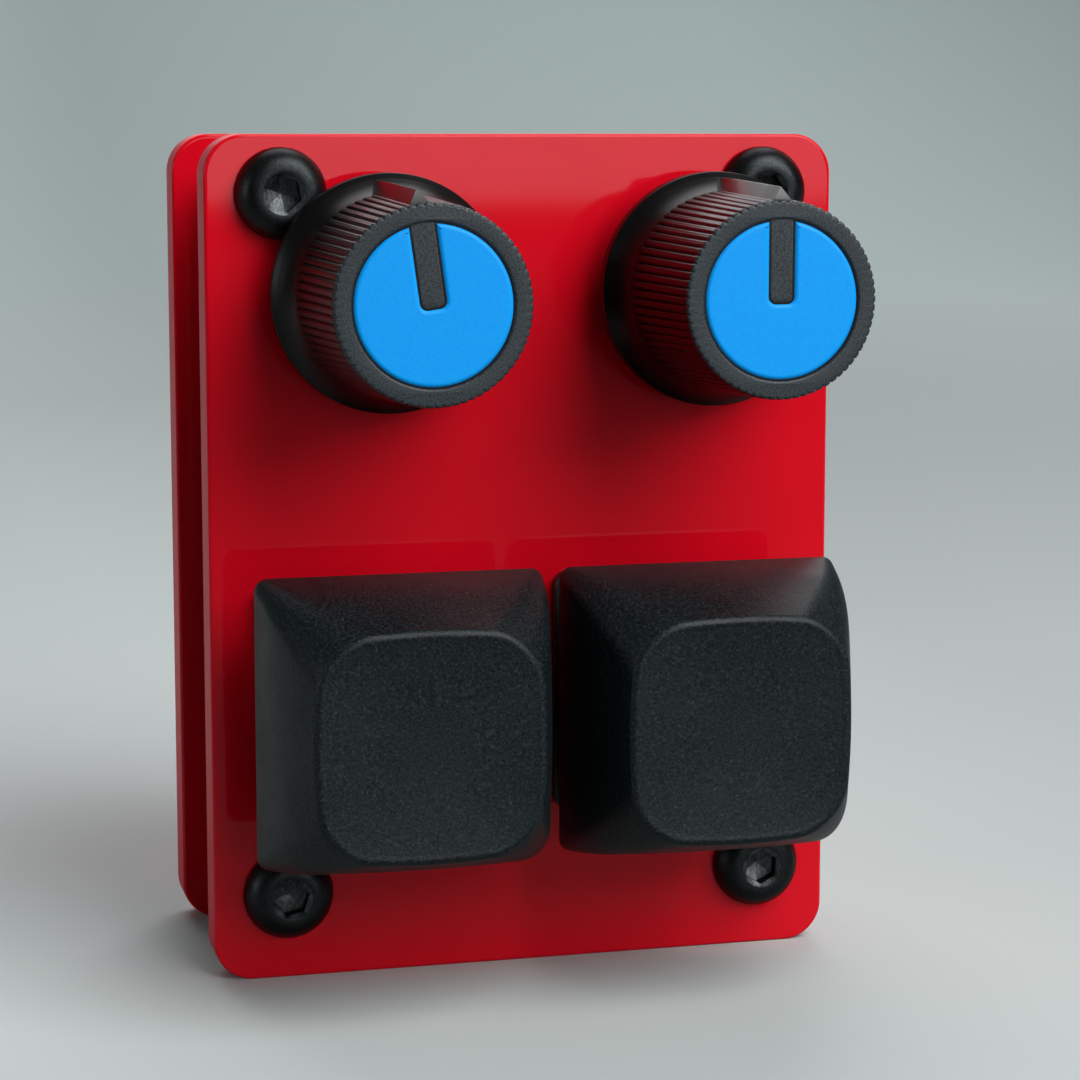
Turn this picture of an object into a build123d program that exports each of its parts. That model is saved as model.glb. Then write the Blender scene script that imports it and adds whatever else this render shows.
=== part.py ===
"""A small desktop controller: two acrylic panels on standoffs, with two pointer knobs and two keys.

The frame: +X is to the right, -Y is the front, +Z is up. The origin is at the middle of the box
round the whole controller, at the height of the panels' lower edges, on which it stands.
A height is counted in front of the front panel's face, so what lies behind that face is negative.
All sizes are in millimetres.
"""

import os
from math import cos, pi, radians, sin

from build123d import *

# Panels, cut from one acrylic sheet
panel_width = 40.64
panel_height = 53.34
panel_thickness = 3.0
panel_corner_radius = 3.4
panel_edge_radius = 0.2
panel_gap = 12.0

# Corner screws and standoffs
screw_inset_side = 4.72
screw_inset_top = 3.65
screw_inset_bottom = 5.5
screw_diameter = 3.0
screw_length = 8.0
screw_head_diameter = 5.7
screw_head_height = 1.65
screw_head_rim = 0.35
screw_crown_radius = 1.55
screw_crown_lean = 0.3
screw_socket_width = 2.0
screw_socket_depth = 1.0
screw_clearance = 0.1
screw_thread_clearance = 0.05
standoff_diameter = 4.5
standoff_chamfer = 0.3

# Places of the knobs and the keys on the panel
knob_inset_left = 10.97
knob_inset_right = 8.67
knob_inset_top = 9.74
left_knob_turn = 8.0
key_spacing = 19.05
key_row_z = 17.75

# Pointer knobs
knob_clearance = 1.95
knob_height = 13.6
skirt_radius = 7.4
skirt_height = 1.1
skirt_wall = 1.3
skirt_recess_depth = 1.8
skirt_edge_radius = 0.25
shoulder_height = 3.6
shoulder_lean = 0.12
shoulder_overlap = 0.5
grip_base_radius = 6.3
grip_front_radius = 5.92
flute_count = 72
flute_depth = 0.22
flute_ridge_share = 0.62
ring_inset = 0.14
ring_height = 0.32
ring_edge_radius = 0.15
pointer_width = 1.7
pointer_height = 0.78
pointer_slope = 0.55
pointer_end_share = 0.3
pointer_root_depth = 0.44
hub_wall = 1.0
hub_pocket_wall = 0.9
hub_pocket_depth = 8.6
knob_roof = 2.9

# Coloured insert in the knob's front, and the indicator bar that shows through its slot
ring_band = 0.84
insert_thickness = 1.2
insert_clearance = 0.06
insert_edge_radius = 0.25
bar_width = 1.42
bar_past_centre = 0.15
bar_corner_radius = 0.35

# Potentiometers
shaft_radius = 3.0
shaft_running_clearance = 0.05
shaft_push_clearance = 0.02
shaft_end_gap = 0.4
shaft_split_width = 0.8
shaft_split_depth = 7.0
bushing_wall = 0.5
bushing_length = 5.0
bushing_clearance = 0.1
bushing_chamfer = 0.25
can_radius = 4.7
can_depth = 4.6
can_wall = 0.45
base_thickness = 1.6
base_drop = 6.3
track_thickness = 0.35
track_side_gap = 0.15
track_bore_radius = 1.4
collar_side_gap = 0.45
collar_thickness = 1.1
collar_gap = 0.3
wiper_width = 1.2
wiper_thickness = 0.25
wiper_gap = 0.12
terminal_spacing = 2.5
terminal_drop = 5.4
terminal_width = 0.8
terminal_thickness = 0.5
terminal_reach = 0.8
terminal_seat_depth = 0.8
lug_width = 2.0
lug_thickness = 0.5
slot_clearance = 0.05

# Keycaps
cap_gap = 1.0
cap_rim_corner = 0.9
cap_pressed_gap = 2.25
cap_height = 9.1
cap_top_width = 13.8
cap_top_corner = 3.5
cap_bulge = 0.45
cap_section_count = 4
cap_top_edge_radius = 0.35
cap_wall = 1.3
cap_roof = 1.5
cap_dish_depth = 0.25
cap_socket_diameter = 5.5
cross_clearance = 0.02

# Key switches
key_travel = 4.0
switch_body_width = 13.9
switch_body_depth = 5.0
switch_cutout_clearance = 0.05
switch_flange_reach = 0.85
switch_flange_height = 0.9
switch_top_height = 6.6
switch_cover_base_width = 13.8
switch_cover_top_width = 11.8
switch_cover_top_depth = 10.6
switch_corner_radius = 1.0
switch_wall = 0.9
switch_post_diameter = 3.9
switch_post_length = 3.3
switch_peg_diameter = 1.7
switch_peg_spacing = 10.16
cavity_width = 10.1
cavity_depth = 8.6
slider_width = 7.0
slider_depth = 6.0
slider_height = 4.2
slider_clearance = 0.25
slider_wing_depth = 2.4
slider_stop_gap = 0.1
slider_recess_diameter = 5.0
slider_recess_depth = 3.0
guide_pin_diameter = 2.0
guide_pin_end_gap = 0.1
guide_pin_clearance = 0.2
cross_length = 3.6
cross_span = 4.1
cross_thickness = 1.2
spring_diameter = 4.2
spring_wire = 0.4
spring_turns = 7
spring_seat_gap = 0.05
contact_width = 1.2
contact_thickness = 0.35
contact_pin_places = ((-3.81, 2.54), (2.54, 5.08))
contact_leaf_places = ((-2.2, 3.75), (2.2, 3.75))
contact_leaf_height = 5.4

# Circuit boards
board_thickness = 1.6
board_corner_radius = 1.0
board_hole_clearance = 0.1
corner_reach = 0.7072
board_inset_side = 1.62
switch_board_below_keys = 9.45
switch_board_above_keys = 11.65
control_board_inset_top = 4.54
board_lap = 3.8
control_board_notch_gap = 0.5
header_pins = 5
header_pin_spacing = 2.54
header_drop = 2.0
header_pin_width = 0.64
header_pin_reach = 1.2

# Socket for the lead, between the potentiometers
socket_width = 8.94
socket_height = 3.26
socket_length = 7.35
socket_wall = 0.3
socket_overhang = 0.7
socket_leg_width = 1.0
socket_leg_thickness = 0.3
socket_leg_inset = 1.2
socket_plug_stop = 1.6
tongue_width = 6.7
tongue_thickness = 0.7
tongue_length = 4.6
tongue_corner_radius = 0.23

# Parts on the rear of the control board
chip_width = 7.0
chip_height = 1.2
chip_rise = 7.2
chip_turn = 45.0
chip_corner_radius = 0.3
chip_sides = 4
chip_leads_per_side = 8
chip_lead_spacing = 0.7
chip_lead_width = 0.3
chip_lead_length = 0.9
chip_lead_thickness = 0.25
crystal_size = (3.2, 2.5, 0.8)
crystal_places = ((7.6, 2.8),)
regulator_size = (3.0, 2.9, 1.1)
regulator_places = ((-14.6, 6.6),)
passive_size = (1.6, 0.8, 0.6)
passive_places = ((-10.2, 2.2), (-10.2, 3.4), (13.4, 2.2), (13.4, 3.4), (-4.6, 13.0), (-4.6, 14.2),
                  (-14.6, 2.2), (-14.6, 3.4), (15.7, 5.6), (15.7, 6.8))

# Places that follow from the sizes above
knob_front = knob_clearance + knob_height
rear_reach = 2 * panel_thickness + panel_gap + screw_head_height
front_y = (knob_front - rear_reach) / 2
front_panel_back = -panel_thickness
rear_panel_front = front_panel_back - panel_gap
rear_panel_back = rear_panel_front - panel_thickness
screw_x = panel_width / 2 - screw_inset_side
screw_top_z = panel_height - screw_inset_top
screw_places = [(x, z) for x in (-screw_x, screw_x) for z in (screw_inset_bottom, screw_top_z)]
knob_row_z = panel_height - knob_inset_top
left_knob_x = knob_inset_left - panel_width / 2
right_knob_x = panel_width / 2 - knob_inset_right
knob_places = {"left": (left_knob_x, left_knob_turn), "right": (right_knob_x, 0.0)}
ring_radius = grip_front_radius - flute_depth - ring_inset
insert_radius = ring_radius - ring_band
hub_radius = shaft_radius + hub_wall
bushing_radius = shaft_radius + bushing_wall
track_radius = can_radius - can_wall - track_side_gap
collar_radius = can_radius - can_wall - collar_side_gap
grip_start = knob_clearance + shoulder_height
grip_end = knob_front - ring_height
base_front = front_panel_back - can_depth
control_board_front = base_front - base_thickness
control_board_back = control_board_front - board_thickness
track_front = base_front + track_thickness
collar_back = front_panel_back - can_wall - collar_gap - collar_thickness
shaft_end = knob_front - knob_roof - shaft_end_gap
cap_rim_height = key_travel + cap_pressed_gap
cap_rim_width = key_spacing - cap_gap
key_places = {"left": -key_spacing / 2, "right": key_spacing / 2}
cap_top = cap_rim_height + cap_height
switch_flange_width = switch_body_width + 2 * switch_flange_reach
slider_wing_width = cavity_width - 2 * slider_clearance
switch_cutout = switch_body_width + 2 * switch_cutout_clearance
switch_floor = switch_wall - switch_body_depth
switch_roof = switch_top_height - switch_wall
slider_bottom = switch_roof - slider_stop_gap - slider_height
guide_pin_tip = key_travel + guide_pin_end_gap - switch_body_depth - switch_post_length
switch_board_front = -switch_body_depth
switch_board_back = switch_board_front - board_thickness
board_width = panel_width - 2 * board_inset_side
switch_board_bottom = key_row_z - switch_board_below_keys
switch_board_top = key_row_z + switch_board_above_keys
control_board_bottom = switch_board_top - board_lap
control_board_top = panel_height - control_board_inset_top
header_z = switch_board_top - header_drop
chip_z = header_z + chip_rise
socket_x = (left_knob_x + right_knob_x) / 2
socket_top_z = control_board_top + socket_overhang
socket_centre_height = control_board_front + socket_height / 2


def layer(height, x=0.0, z=0.0, turn=0.0):
    """A plane parallel to the panels at a height, with its centre at x and z, turned anticlockwise."""
    angle = radians(turn)
    return Plane((x, front_y - height, z), x_dir=(cos(angle), 0, sin(angle)), z_dir=(0, -1, 0))


def section(x, z, height=0.0, outward=1):
    """The plane of a turned profile: its X is the radius from x and z, and its Y the height over a seat."""
    return Plane((x, front_y - height, z), x_dir=(1, 0, 0), z_dir=(0, 0, -outward))


def spin_axis(x, z):
    """The line at x and z, square to the panels, that a profile is turned about."""
    return Axis((x, front_y, z), (0, -1, 0))


def circles_of(radius):
    """Picks the round edges of one radius."""
    return edges().filter_by(GeomType.CIRCLE).filter_by(lambda edge: abs(edge.radius - radius) < 0.001)


def save(piece, name):
    """Labels a finished piece and writes it to its own file."""
    piece.part.label = name
    export_step(piece.part, f"parts/{name}.step")


def panel(name, front_height, has_controls):
    """One panel: a plate with rounded corners and screw holes, and the controls' holes if it has them."""
    with BuildPart() as plate:
        with BuildSketch(layer(front_height, 0, panel_height / 2)):
            RectangleRounded(panel_width, panel_height, panel_corner_radius)
        extrude(amount=-panel_thickness)
        fillet(faces().filter_by(Axis.Y).edges(), panel_edge_radius)
        with BuildSketch(layer(front_height)):
            with Locations(*screw_places):
                Circle(screw_diameter / 2 + screw_clearance)
            if has_controls:
                with Locations(*[(x, key_row_z) for x in key_places.values()]):
                    Rectangle(switch_cutout, switch_cutout)
                with Locations(*[(x, knob_row_z) for x, _ in knob_places.values()]):
                    Circle(bushing_radius + bushing_clearance)
        extrude(amount=-panel_thickness, mode=Mode.SUBTRACT)
    save(plate, name)


def standoffs():
    """Four round standoffs that hold the panels apart."""
    with BuildPart() as tubes:
        with BuildSketch(layer(front_panel_back)):
            with Locations(*screw_places):
                Circle(standoff_diameter / 2)
                Circle(screw_diameter / 2 + screw_thread_clearance, mode=Mode.SUBTRACT)
        extrude(amount=-panel_gap)
        chamfer(circles_of(standoff_diameter / 2), standoff_chamfer)
    save(tubes, "standoffs")


def screws(name, seat_height, outward):
    """Four button-head screws with hexagon sockets; outward is 1 on the front panel and -1 on the rear."""
    head = screw_head_diameter / 2
    with BuildPart() as group:
        for x, z in screw_places:
            with BuildSketch(section(x, z, seat_height, outward)):
                with BuildLine():
                    Polyline((screw_crown_radius, screw_head_height), (0, screw_head_height),
                             (0, -screw_length), (screw_diameter / 2, -screw_length),
                             (screw_diameter / 2, 0), (head, 0), (head, screw_head_rim))
                    TangentArc((head, screw_head_rim), (screw_crown_radius, screw_head_height),
                               tangent=(-screw_crown_lean, 1))
                make_face()
            revolve(axis=spin_axis(x, z))
        socket_floor = seat_height + outward * (screw_head_height - screw_socket_depth)
        with BuildSketch(layer(socket_floor)):
            with Locations(*screw_places):
                RegularPolygon(screw_socket_width / 2, 6, major_radius=False)
        extrude(amount=outward * screw_head_height, mode=Mode.SUBTRACT)
    save(group, name)


def grip_radius(height):
    """The radius over the ridges at a height, on the straight taper of the grip."""
    share = (height - grip_start) / (grip_end - grip_start)
    return grip_base_radius + (grip_front_radius - grip_base_radius) * share


def fluted_outline(height):
    """Draws the grip across its axis at a height: ridges with flat crowns and narrow valleys."""
    radius = grip_radius(height)
    pitch = 2 * pi / flute_count
    ridge = pitch * flute_ridge_share / 2
    points = []
    for flute in range(flute_count):
        for angle, reach in ((-ridge, radius), (ridge, radius), (pitch / 2, radius - flute_depth)):
            direction = flute * pitch + angle
            points.append((reach * cos(direction), reach * sin(direction)))
    Polygon(*points, align=None)


def grip_sections(x, turn):
    """The outlines that the fluted grip is lofted through, one in the shoulder and one at the front."""
    outlines = []
    for height in (grip_start - shoulder_overlap, grip_end):
        with BuildSketch(layer(height, x, knob_row_z, turn)) as outline:
            fluted_outline(height)
        outlines.append(outline.sketch)
    return outlines


def pointer_sections(x, turn):
    """The outlines of the pointer: a sharp rib along the top of the grip that slopes down at its end."""
    outlines = []
    for height, rise in (
        (knob_clearance + skirt_height, pointer_height),
        (grip_end - pointer_slope, pointer_height),
        (grip_end, pointer_height * pointer_end_share),
    ):
        foot = grip_radius(height) - pointer_root_depth
        with BuildSketch(layer(height, x, knob_row_z, turn)) as outline:
            Polygon((-pointer_width / 2, foot), (pointer_width / 2, foot),
                    (0, grip_radius(height) + rise), align=None)
        outlines.append(outline.sketch)
    return outlines


def indicator_bar(margin):
    """Cuts the indicator bar's outline, wider by a margin, from past the centre to beyond the insert."""
    low = -bar_past_centre - margin
    high = insert_radius + bar_width
    with Locations((0, (low + high) / 2)):
        RectangleRounded(bar_width + 2 * margin, high - low, bar_corner_radius, mode=Mode.SUBTRACT)


def knob(side, x, turn):
    """A moulded pointer knob: skirt, fluted grip, front ring, indicator bar, and a hub for the shaft."""
    skirt_top = knob_clearance + skirt_height
    grip_foot_radius = grip_base_radius - flute_depth
    with BuildPart() as body:
        with BuildSketch(section(x, knob_row_z)):
            with BuildLine():
                Polyline((grip_foot_radius, grip_start), (0, grip_start), (0, knob_clearance),
                         (skirt_radius, knob_clearance), (skirt_radius, skirt_top))
                TangentArc((grip_foot_radius, grip_start), (skirt_radius, skirt_top),
                           tangent=(shoulder_lean, -1))
            make_face()
        revolve(axis=spin_axis(x, knob_row_z))
        fillet(circles_of(skirt_radius), skirt_edge_radius)
        loft(grip_sections(x, turn), ruled=True)
        loft(pointer_sections(x, turn), ruled=True)
        with BuildSketch(layer(grip_end, x, knob_row_z)):
            Circle(ring_radius)
        extrude(amount=ring_height)
        fillet(circles_of(ring_radius).sort_by(Axis.Y)[0], ring_edge_radius)
        with BuildSketch(layer(knob_front, x, knob_row_z, turn)):
            Circle(insert_radius + insert_clearance)
            indicator_bar(0)
        extrude(amount=-insert_thickness, mode=Mode.SUBTRACT)
        with BuildSketch(layer(knob_clearance, x, knob_row_z)):
            Circle(skirt_radius - skirt_wall)
        extrude(amount=skirt_recess_depth, mode=Mode.SUBTRACT)
        with BuildSketch(layer(knob_clearance, x, knob_row_z)):
            Circle(grip_front_radius - flute_depth - hub_pocket_wall)
            Circle(hub_radius, mode=Mode.SUBTRACT)
        extrude(amount=hub_pocket_depth, mode=Mode.SUBTRACT)
        with BuildSketch(layer(knob_clearance, x, knob_row_z)):
            Circle(shaft_radius + shaft_push_clearance)
        extrude(amount=knob_height - knob_roof, mode=Mode.SUBTRACT)
    save(body, f"{side}_knob")


def knob_insert(side, x, turn):
    """The coloured disc in the knob's front, with an open slot for the indicator bar."""
    with BuildPart() as disc:
        with BuildSketch(layer(knob_front - insert_thickness, x, knob_row_z, turn)):
            Circle(insert_radius)
            indicator_bar(insert_clearance)
        extrude(amount=insert_thickness)
        chamfer(circles_of(insert_radius).sort_by(Axis.Y)[0], insert_edge_radius)
    save(disc, f"{side}_knob_insert")


def pot_cover(side, x):
    """The metal can of a potentiometer, with its bushing through the panel and two fixing lugs."""
    lug_x = can_radius + lug_thickness / 2 - can_wall / 2
    with BuildPart() as cover:
        with BuildSketch(layer(front_panel_back, x, knob_row_z)):
            Circle(can_radius)
        extrude(amount=-can_depth)
        with BuildSketch(layer(front_panel_back, x, knob_row_z)):
            with Locations((-lug_x, 0), (lug_x, 0)):
                Rectangle(lug_thickness, lug_width)
        extrude(amount=control_board_back - terminal_reach - front_panel_back)
        with BuildSketch(layer(front_panel_back - can_wall, x, knob_row_z)):
            Circle(can_radius - can_wall)
        extrude(amount=can_wall - can_depth, mode=Mode.SUBTRACT)
        with BuildSketch(layer(front_panel_back, x, knob_row_z)):
            Circle(bushing_radius)
        extrude(amount=bushing_length)
        chamfer(circles_of(bushing_radius).sort_by(Axis.Y)[0], bushing_chamfer)
        with BuildSketch(layer(front_panel_back + bushing_length, x, knob_row_z)):
            Circle(shaft_radius + shaft_running_clearance)
        extrude(amount=-bushing_length - can_wall, mode=Mode.SUBTRACT)
    save(cover, f"{side}_pot_cover")


def terminal_row():
    """The places of a potentiometer's three terminals, counted from its shaft."""
    return [(place * terminal_spacing, -terminal_drop) for place in (-1, 0, 1)]


def pot_base(side, x):
    """The moulded base of a potentiometer, with a square block for its terminals below the shaft."""
    with BuildPart() as base:
        with BuildSketch(layer(control_board_front, x, knob_row_z)):
            Circle(can_radius)
            with Locations((0, -base_drop / 2)):
                Rectangle(2 * can_radius, base_drop)
            with Locations((-can_radius, 0), (can_radius, 0)):
                Rectangle(2 * lug_thickness, lug_width + 2 * board_hole_clearance, mode=Mode.SUBTRACT)
        extrude(amount=base_thickness)
        with BuildSketch(layer(control_board_front, x, knob_row_z)):
            with Locations(*terminal_row()):
                Rectangle(terminal_width + 2 * slot_clearance, terminal_thickness + 2 * slot_clearance)
        extrude(amount=terminal_seat_depth, mode=Mode.SUBTRACT)
    save(base, f"{side}_pot_base")


def pot_track(side, x):
    """The ring of resistive track that the wiper runs on."""
    with BuildPart() as track:
        with BuildSketch(layer(base_front, x, knob_row_z)):
            Circle(track_radius)
            Circle(track_bore_radius, mode=Mode.SUBTRACT)
        extrude(amount=track_thickness)
    save(track, f"{side}_pot_track")


def pot_terminals(side, x):
    """Three pins from the base through the control board."""
    with BuildPart() as pins:
        with BuildSketch(layer(control_board_back - terminal_reach, x, knob_row_z)):
            with Locations(*terminal_row()):
                Rectangle(terminal_width, terminal_thickness)
        extrude(amount=terminal_reach + board_thickness + terminal_seat_depth)
    save(pins, f"{side}_pot_terminals")


def pot_shaft(side, x, turn):
    """The turning shaft, with its collar in the can and the split end that grips the knob."""
    with BuildPart() as shaft:
        with BuildSketch(layer(collar_back, x, knob_row_z)):
            Circle(collar_radius)
        extrude(amount=collar_thickness)
        with BuildSketch(layer(collar_back, x, knob_row_z)):
            Circle(shaft_radius)
        extrude(amount=shaft_end - collar_back)
        with BuildSketch(layer(shaft_end, x, knob_row_z, turn)):
            Rectangle(2 * (shaft_radius + shaft_running_clearance), shaft_split_width)
        extrude(amount=-shaft_split_depth, mode=Mode.SUBTRACT)
    save(shaft, f"{side}_pot_shaft")


def pot_wiper(side, x, turn):
    """The wiper: a boss behind the shaft's collar that carries a narrow contact over the track."""
    with BuildPart() as wiper:
        with BuildSketch(layer(track_front + wiper_gap, x, knob_row_z, turn)):
            with Locations((0, collar_radius / 2)):
                Rectangle(wiper_width, collar_radius)
            Circle(wiper_width)
        extrude(amount=wiper_thickness)
        with BuildSketch(layer(collar_back, x, knob_row_z)):
            Circle(wiper_width)
        extrude(amount=track_front + wiper_gap - collar_back)
    save(wiper, f"{side}_pot_wiper")


def cap_width(rise, inset):
    """The cap's width at a rise over its rim: a straight taper with bulged walls, less a wall."""
    share = rise / cap_height
    taper = cap_rim_width + (cap_top_width - cap_rim_width) * share
    return taper + 2 * cap_bulge * sin(pi * share) - 2 * inset


def cap_sections(x, top_rise, inset):
    """The cap's outlines, less a wall, from its rim to a rise."""
    outlines = []
    for level in range(cap_section_count):
        rise = top_rise * level / (cap_section_count - 1)
        corner = cap_rim_corner + (cap_top_corner - cap_rim_corner) * rise / cap_height
        width = cap_width(rise, inset)
        with BuildSketch(layer(cap_rim_height + rise, x, key_row_z)) as outline:
            RectangleRounded(width, width, corner - inset * corner / (2 * cap_top_corner))
        outlines.append(outline.sketch)
    return outlines


def cross(margin, mode=Mode.ADD):
    """Draws the cross on top of a switch's stem, wider by a margin."""
    Rectangle(cross_span + 2 * margin, cross_thickness + 2 * margin, mode=mode)
    Rectangle(cross_thickness + 2 * margin, cross_span + 2 * margin, mode=mode)


def keycap(side, x):
    """A hollow keycap with bulged walls, a round-cornered, lightly dished top, and its stem socket."""
    dish_radius = (cap_top_width / 2) ** 2 / (2 * cap_dish_depth)
    with BuildPart() as cap:
        loft(cap_sections(x, cap_height, 0))
        fillet(faces().sort_by(Axis.Y)[0].edges(), cap_top_edge_radius)
        with Locations((x, front_y - cap_top - dish_radius + cap_dish_depth, key_row_z)):
            Sphere(dish_radius, rotation=(90, 0, 0), mode=Mode.SUBTRACT)
        loft(cap_sections(x, cap_height - cap_roof, cap_wall), mode=Mode.SUBTRACT)
        with BuildSketch(layer(switch_top_height, x, key_row_z)):
            Circle(cap_socket_diameter / 2)
            cross(cross_clearance, Mode.SUBTRACT)
        extrude(amount=cap_top - cap_roof - switch_top_height)
    save(cap, f"{side}_keycap")


def switch_base(side, x):
    """The lower half of a switch: a cup that drops into the panel, with posts and slots for the board."""
    with BuildPart() as base:
        with BuildSketch(layer(-switch_body_depth, x, key_row_z)):
            RectangleRounded(switch_body_width, switch_body_width, switch_corner_radius)
        extrude(amount=switch_body_depth)
        with BuildSketch(layer(0, x, key_row_z)):
            RectangleRounded(switch_flange_width, switch_flange_width, switch_corner_radius)
        extrude(amount=switch_flange_height)
        with BuildSketch(layer(switch_floor, x, key_row_z)):
            Rectangle(cavity_width, cavity_depth)
        extrude(amount=switch_flange_height - switch_floor, mode=Mode.SUBTRACT)
        with BuildSketch(layer(-switch_body_depth, x, key_row_z)):
            Circle(switch_post_diameter / 2)
            with GridLocations(switch_peg_spacing, 0, 2, 1):
                Circle(switch_peg_diameter / 2)
        extrude(amount=-switch_post_length)
        with BuildSketch(layer(switch_floor, x, key_row_z)):
            Circle(guide_pin_diameter / 2 + guide_pin_clearance)
        extrude(amount=-switch_floor - switch_body_depth - switch_post_length, mode=Mode.SUBTRACT)
        with BuildSketch(layer(switch_floor, x, key_row_z)):
            with Locations(*contact_pin_places):
                Rectangle(contact_width + 2 * slot_clearance, contact_thickness + 2 * slot_clearance)
        extrude(amount=-switch_floor - switch_body_depth, mode=Mode.SUBTRACT)
    save(base, f"{side}_switch_base")


def switch_cover(side, x):
    """The upper half of a switch: a tapered cover with an opening that the slider passes through."""
    outlines = []
    for height, width, depth in (
        (switch_flange_height, switch_cover_base_width, switch_cover_base_width),
        (switch_top_height, switch_cover_top_width, switch_cover_top_depth),
    ):
        with BuildSketch(layer(height, x, key_row_z)) as outline:
            RectangleRounded(width, depth, switch_corner_radius)
        outlines.append(outline.sketch)
    with BuildPart() as cover:
        loft(outlines)
        with BuildSketch(layer(switch_flange_height, x, key_row_z)):
            Rectangle(cavity_width, cavity_depth)
        extrude(amount=switch_roof - switch_flange_height, mode=Mode.SUBTRACT)
        with BuildSketch(layer(switch_roof, x, key_row_z)):
            Rectangle(slider_width + 2 * slider_clearance, slider_depth + 2 * slider_clearance)
        extrude(amount=switch_wall, mode=Mode.SUBTRACT)
    save(cover, f"{side}_switch_cover")


def switch_stem(side, x):
    """The sliding stem: its core and wings, a recess for the spring, a guide pin and the cap's cross."""
    with BuildPart() as stem:
        with BuildSketch(layer(slider_bottom, x, key_row_z)):
            Rectangle(slider_width, slider_depth)
        extrude(amount=switch_top_height - slider_bottom)
        with BuildSketch(layer(slider_bottom, x, key_row_z)):
            Rectangle(slider_wing_width, slider_wing_depth)
        extrude(amount=slider_height)
        with BuildSketch(layer(slider_bottom, x, key_row_z)):
            Circle(slider_recess_diameter / 2)
        extrude(amount=slider_recess_depth, mode=Mode.SUBTRACT)
        with BuildSketch(layer(guide_pin_tip, x, key_row_z)):
            Circle(guide_pin_diameter / 2)
        extrude(amount=slider_bottom + slider_recess_depth - guide_pin_tip)
        with BuildSketch(layer(switch_top_height, x, key_row_z)):
            cross(0)
        extrude(amount=cross_length)
    save(stem, f"{side}_switch_stem")


def switch_spring(side, x):
    """The coil spring between the switch's floor and the recess in its stem."""
    start = switch_floor + spring_seat_gap + spring_wire / 2
    end = slider_bottom + slider_recess_depth - spring_seat_gap - spring_wire / 2
    with BuildPart() as spring:
        with BuildLine() as coil:
            Helix((end - start) / spring_turns, end - start, (spring_diameter - spring_wire) / 2,
                  center=(x, front_y - start, key_row_z), direction=(0, -1, 0))
        with BuildSketch(Plane(coil.line @ 0, z_dir=coil.line % 0)):
            RegularPolygon(spring_wire / 2, 6)
        sweep(is_frenet=True)
    save(spring, f"{side}_switch_spring")


def switch_contacts(side, x):
    """Two pins through the switch board, and the two leaves beside the stem that close the circuit."""
    with BuildPart() as contacts:
        with BuildSketch(layer(-switch_body_depth - switch_post_length, x, key_row_z)):
            with Locations(*contact_pin_places):
                Rectangle(contact_width, contact_thickness)
        extrude(amount=switch_floor + switch_body_depth + switch_post_length)
        with BuildSketch(layer(switch_floor, x, key_row_z)):
            with Locations(*contact_leaf_places):
                Rectangle(contact_width, contact_thickness)
        extrude(amount=contact_leaf_height)
    save(contacts, f"{side}_switch_contacts")


def header_row():
    """The places of the header's pins, counted from the middle of the row."""
    return [((pin - (header_pins - 1) / 2) * header_pin_spacing, header_z) for pin in range(header_pins)]


def switch_board():
    """The board behind the switches, with a hole for each post, peg, pin and header pin."""
    middle_z = (switch_board_bottom + switch_board_top) / 2
    with BuildPart() as board:
        with BuildSketch(layer(switch_board_front, 0, middle_z)):
            RectangleRounded(board_width, switch_board_top - switch_board_bottom, board_corner_radius)
        extrude(amount=-board_thickness)
        for x in key_places.values():
            with BuildSketch(layer(switch_board_front, x, key_row_z)):
                Circle(switch_post_diameter / 2 + board_hole_clearance)
                with GridLocations(switch_peg_spacing, 0, 2, 1):
                    Circle(switch_peg_diameter / 2 + board_hole_clearance)
                with Locations(*contact_pin_places):
                    Circle(contact_width / 2 + board_hole_clearance)
            extrude(amount=-board_thickness, mode=Mode.SUBTRACT)
        with BuildSketch(layer(switch_board_front)):
            with Locations(*header_row()):
                Circle(header_pin_width * corner_reach + board_hole_clearance)
        extrude(amount=-board_thickness, mode=Mode.SUBTRACT)
    save(board, "switch_board")


def socket_leg_places():
    """The places of the socket's four legs on the control board."""
    reach = socket_width / 2 - socket_leg_thickness / 2
    rows = (socket_top_z - socket_leg_inset, socket_top_z - socket_length + socket_leg_inset)
    return [(socket_x + way * reach, z) for way in (-1, 1) for z in rows]


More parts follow.
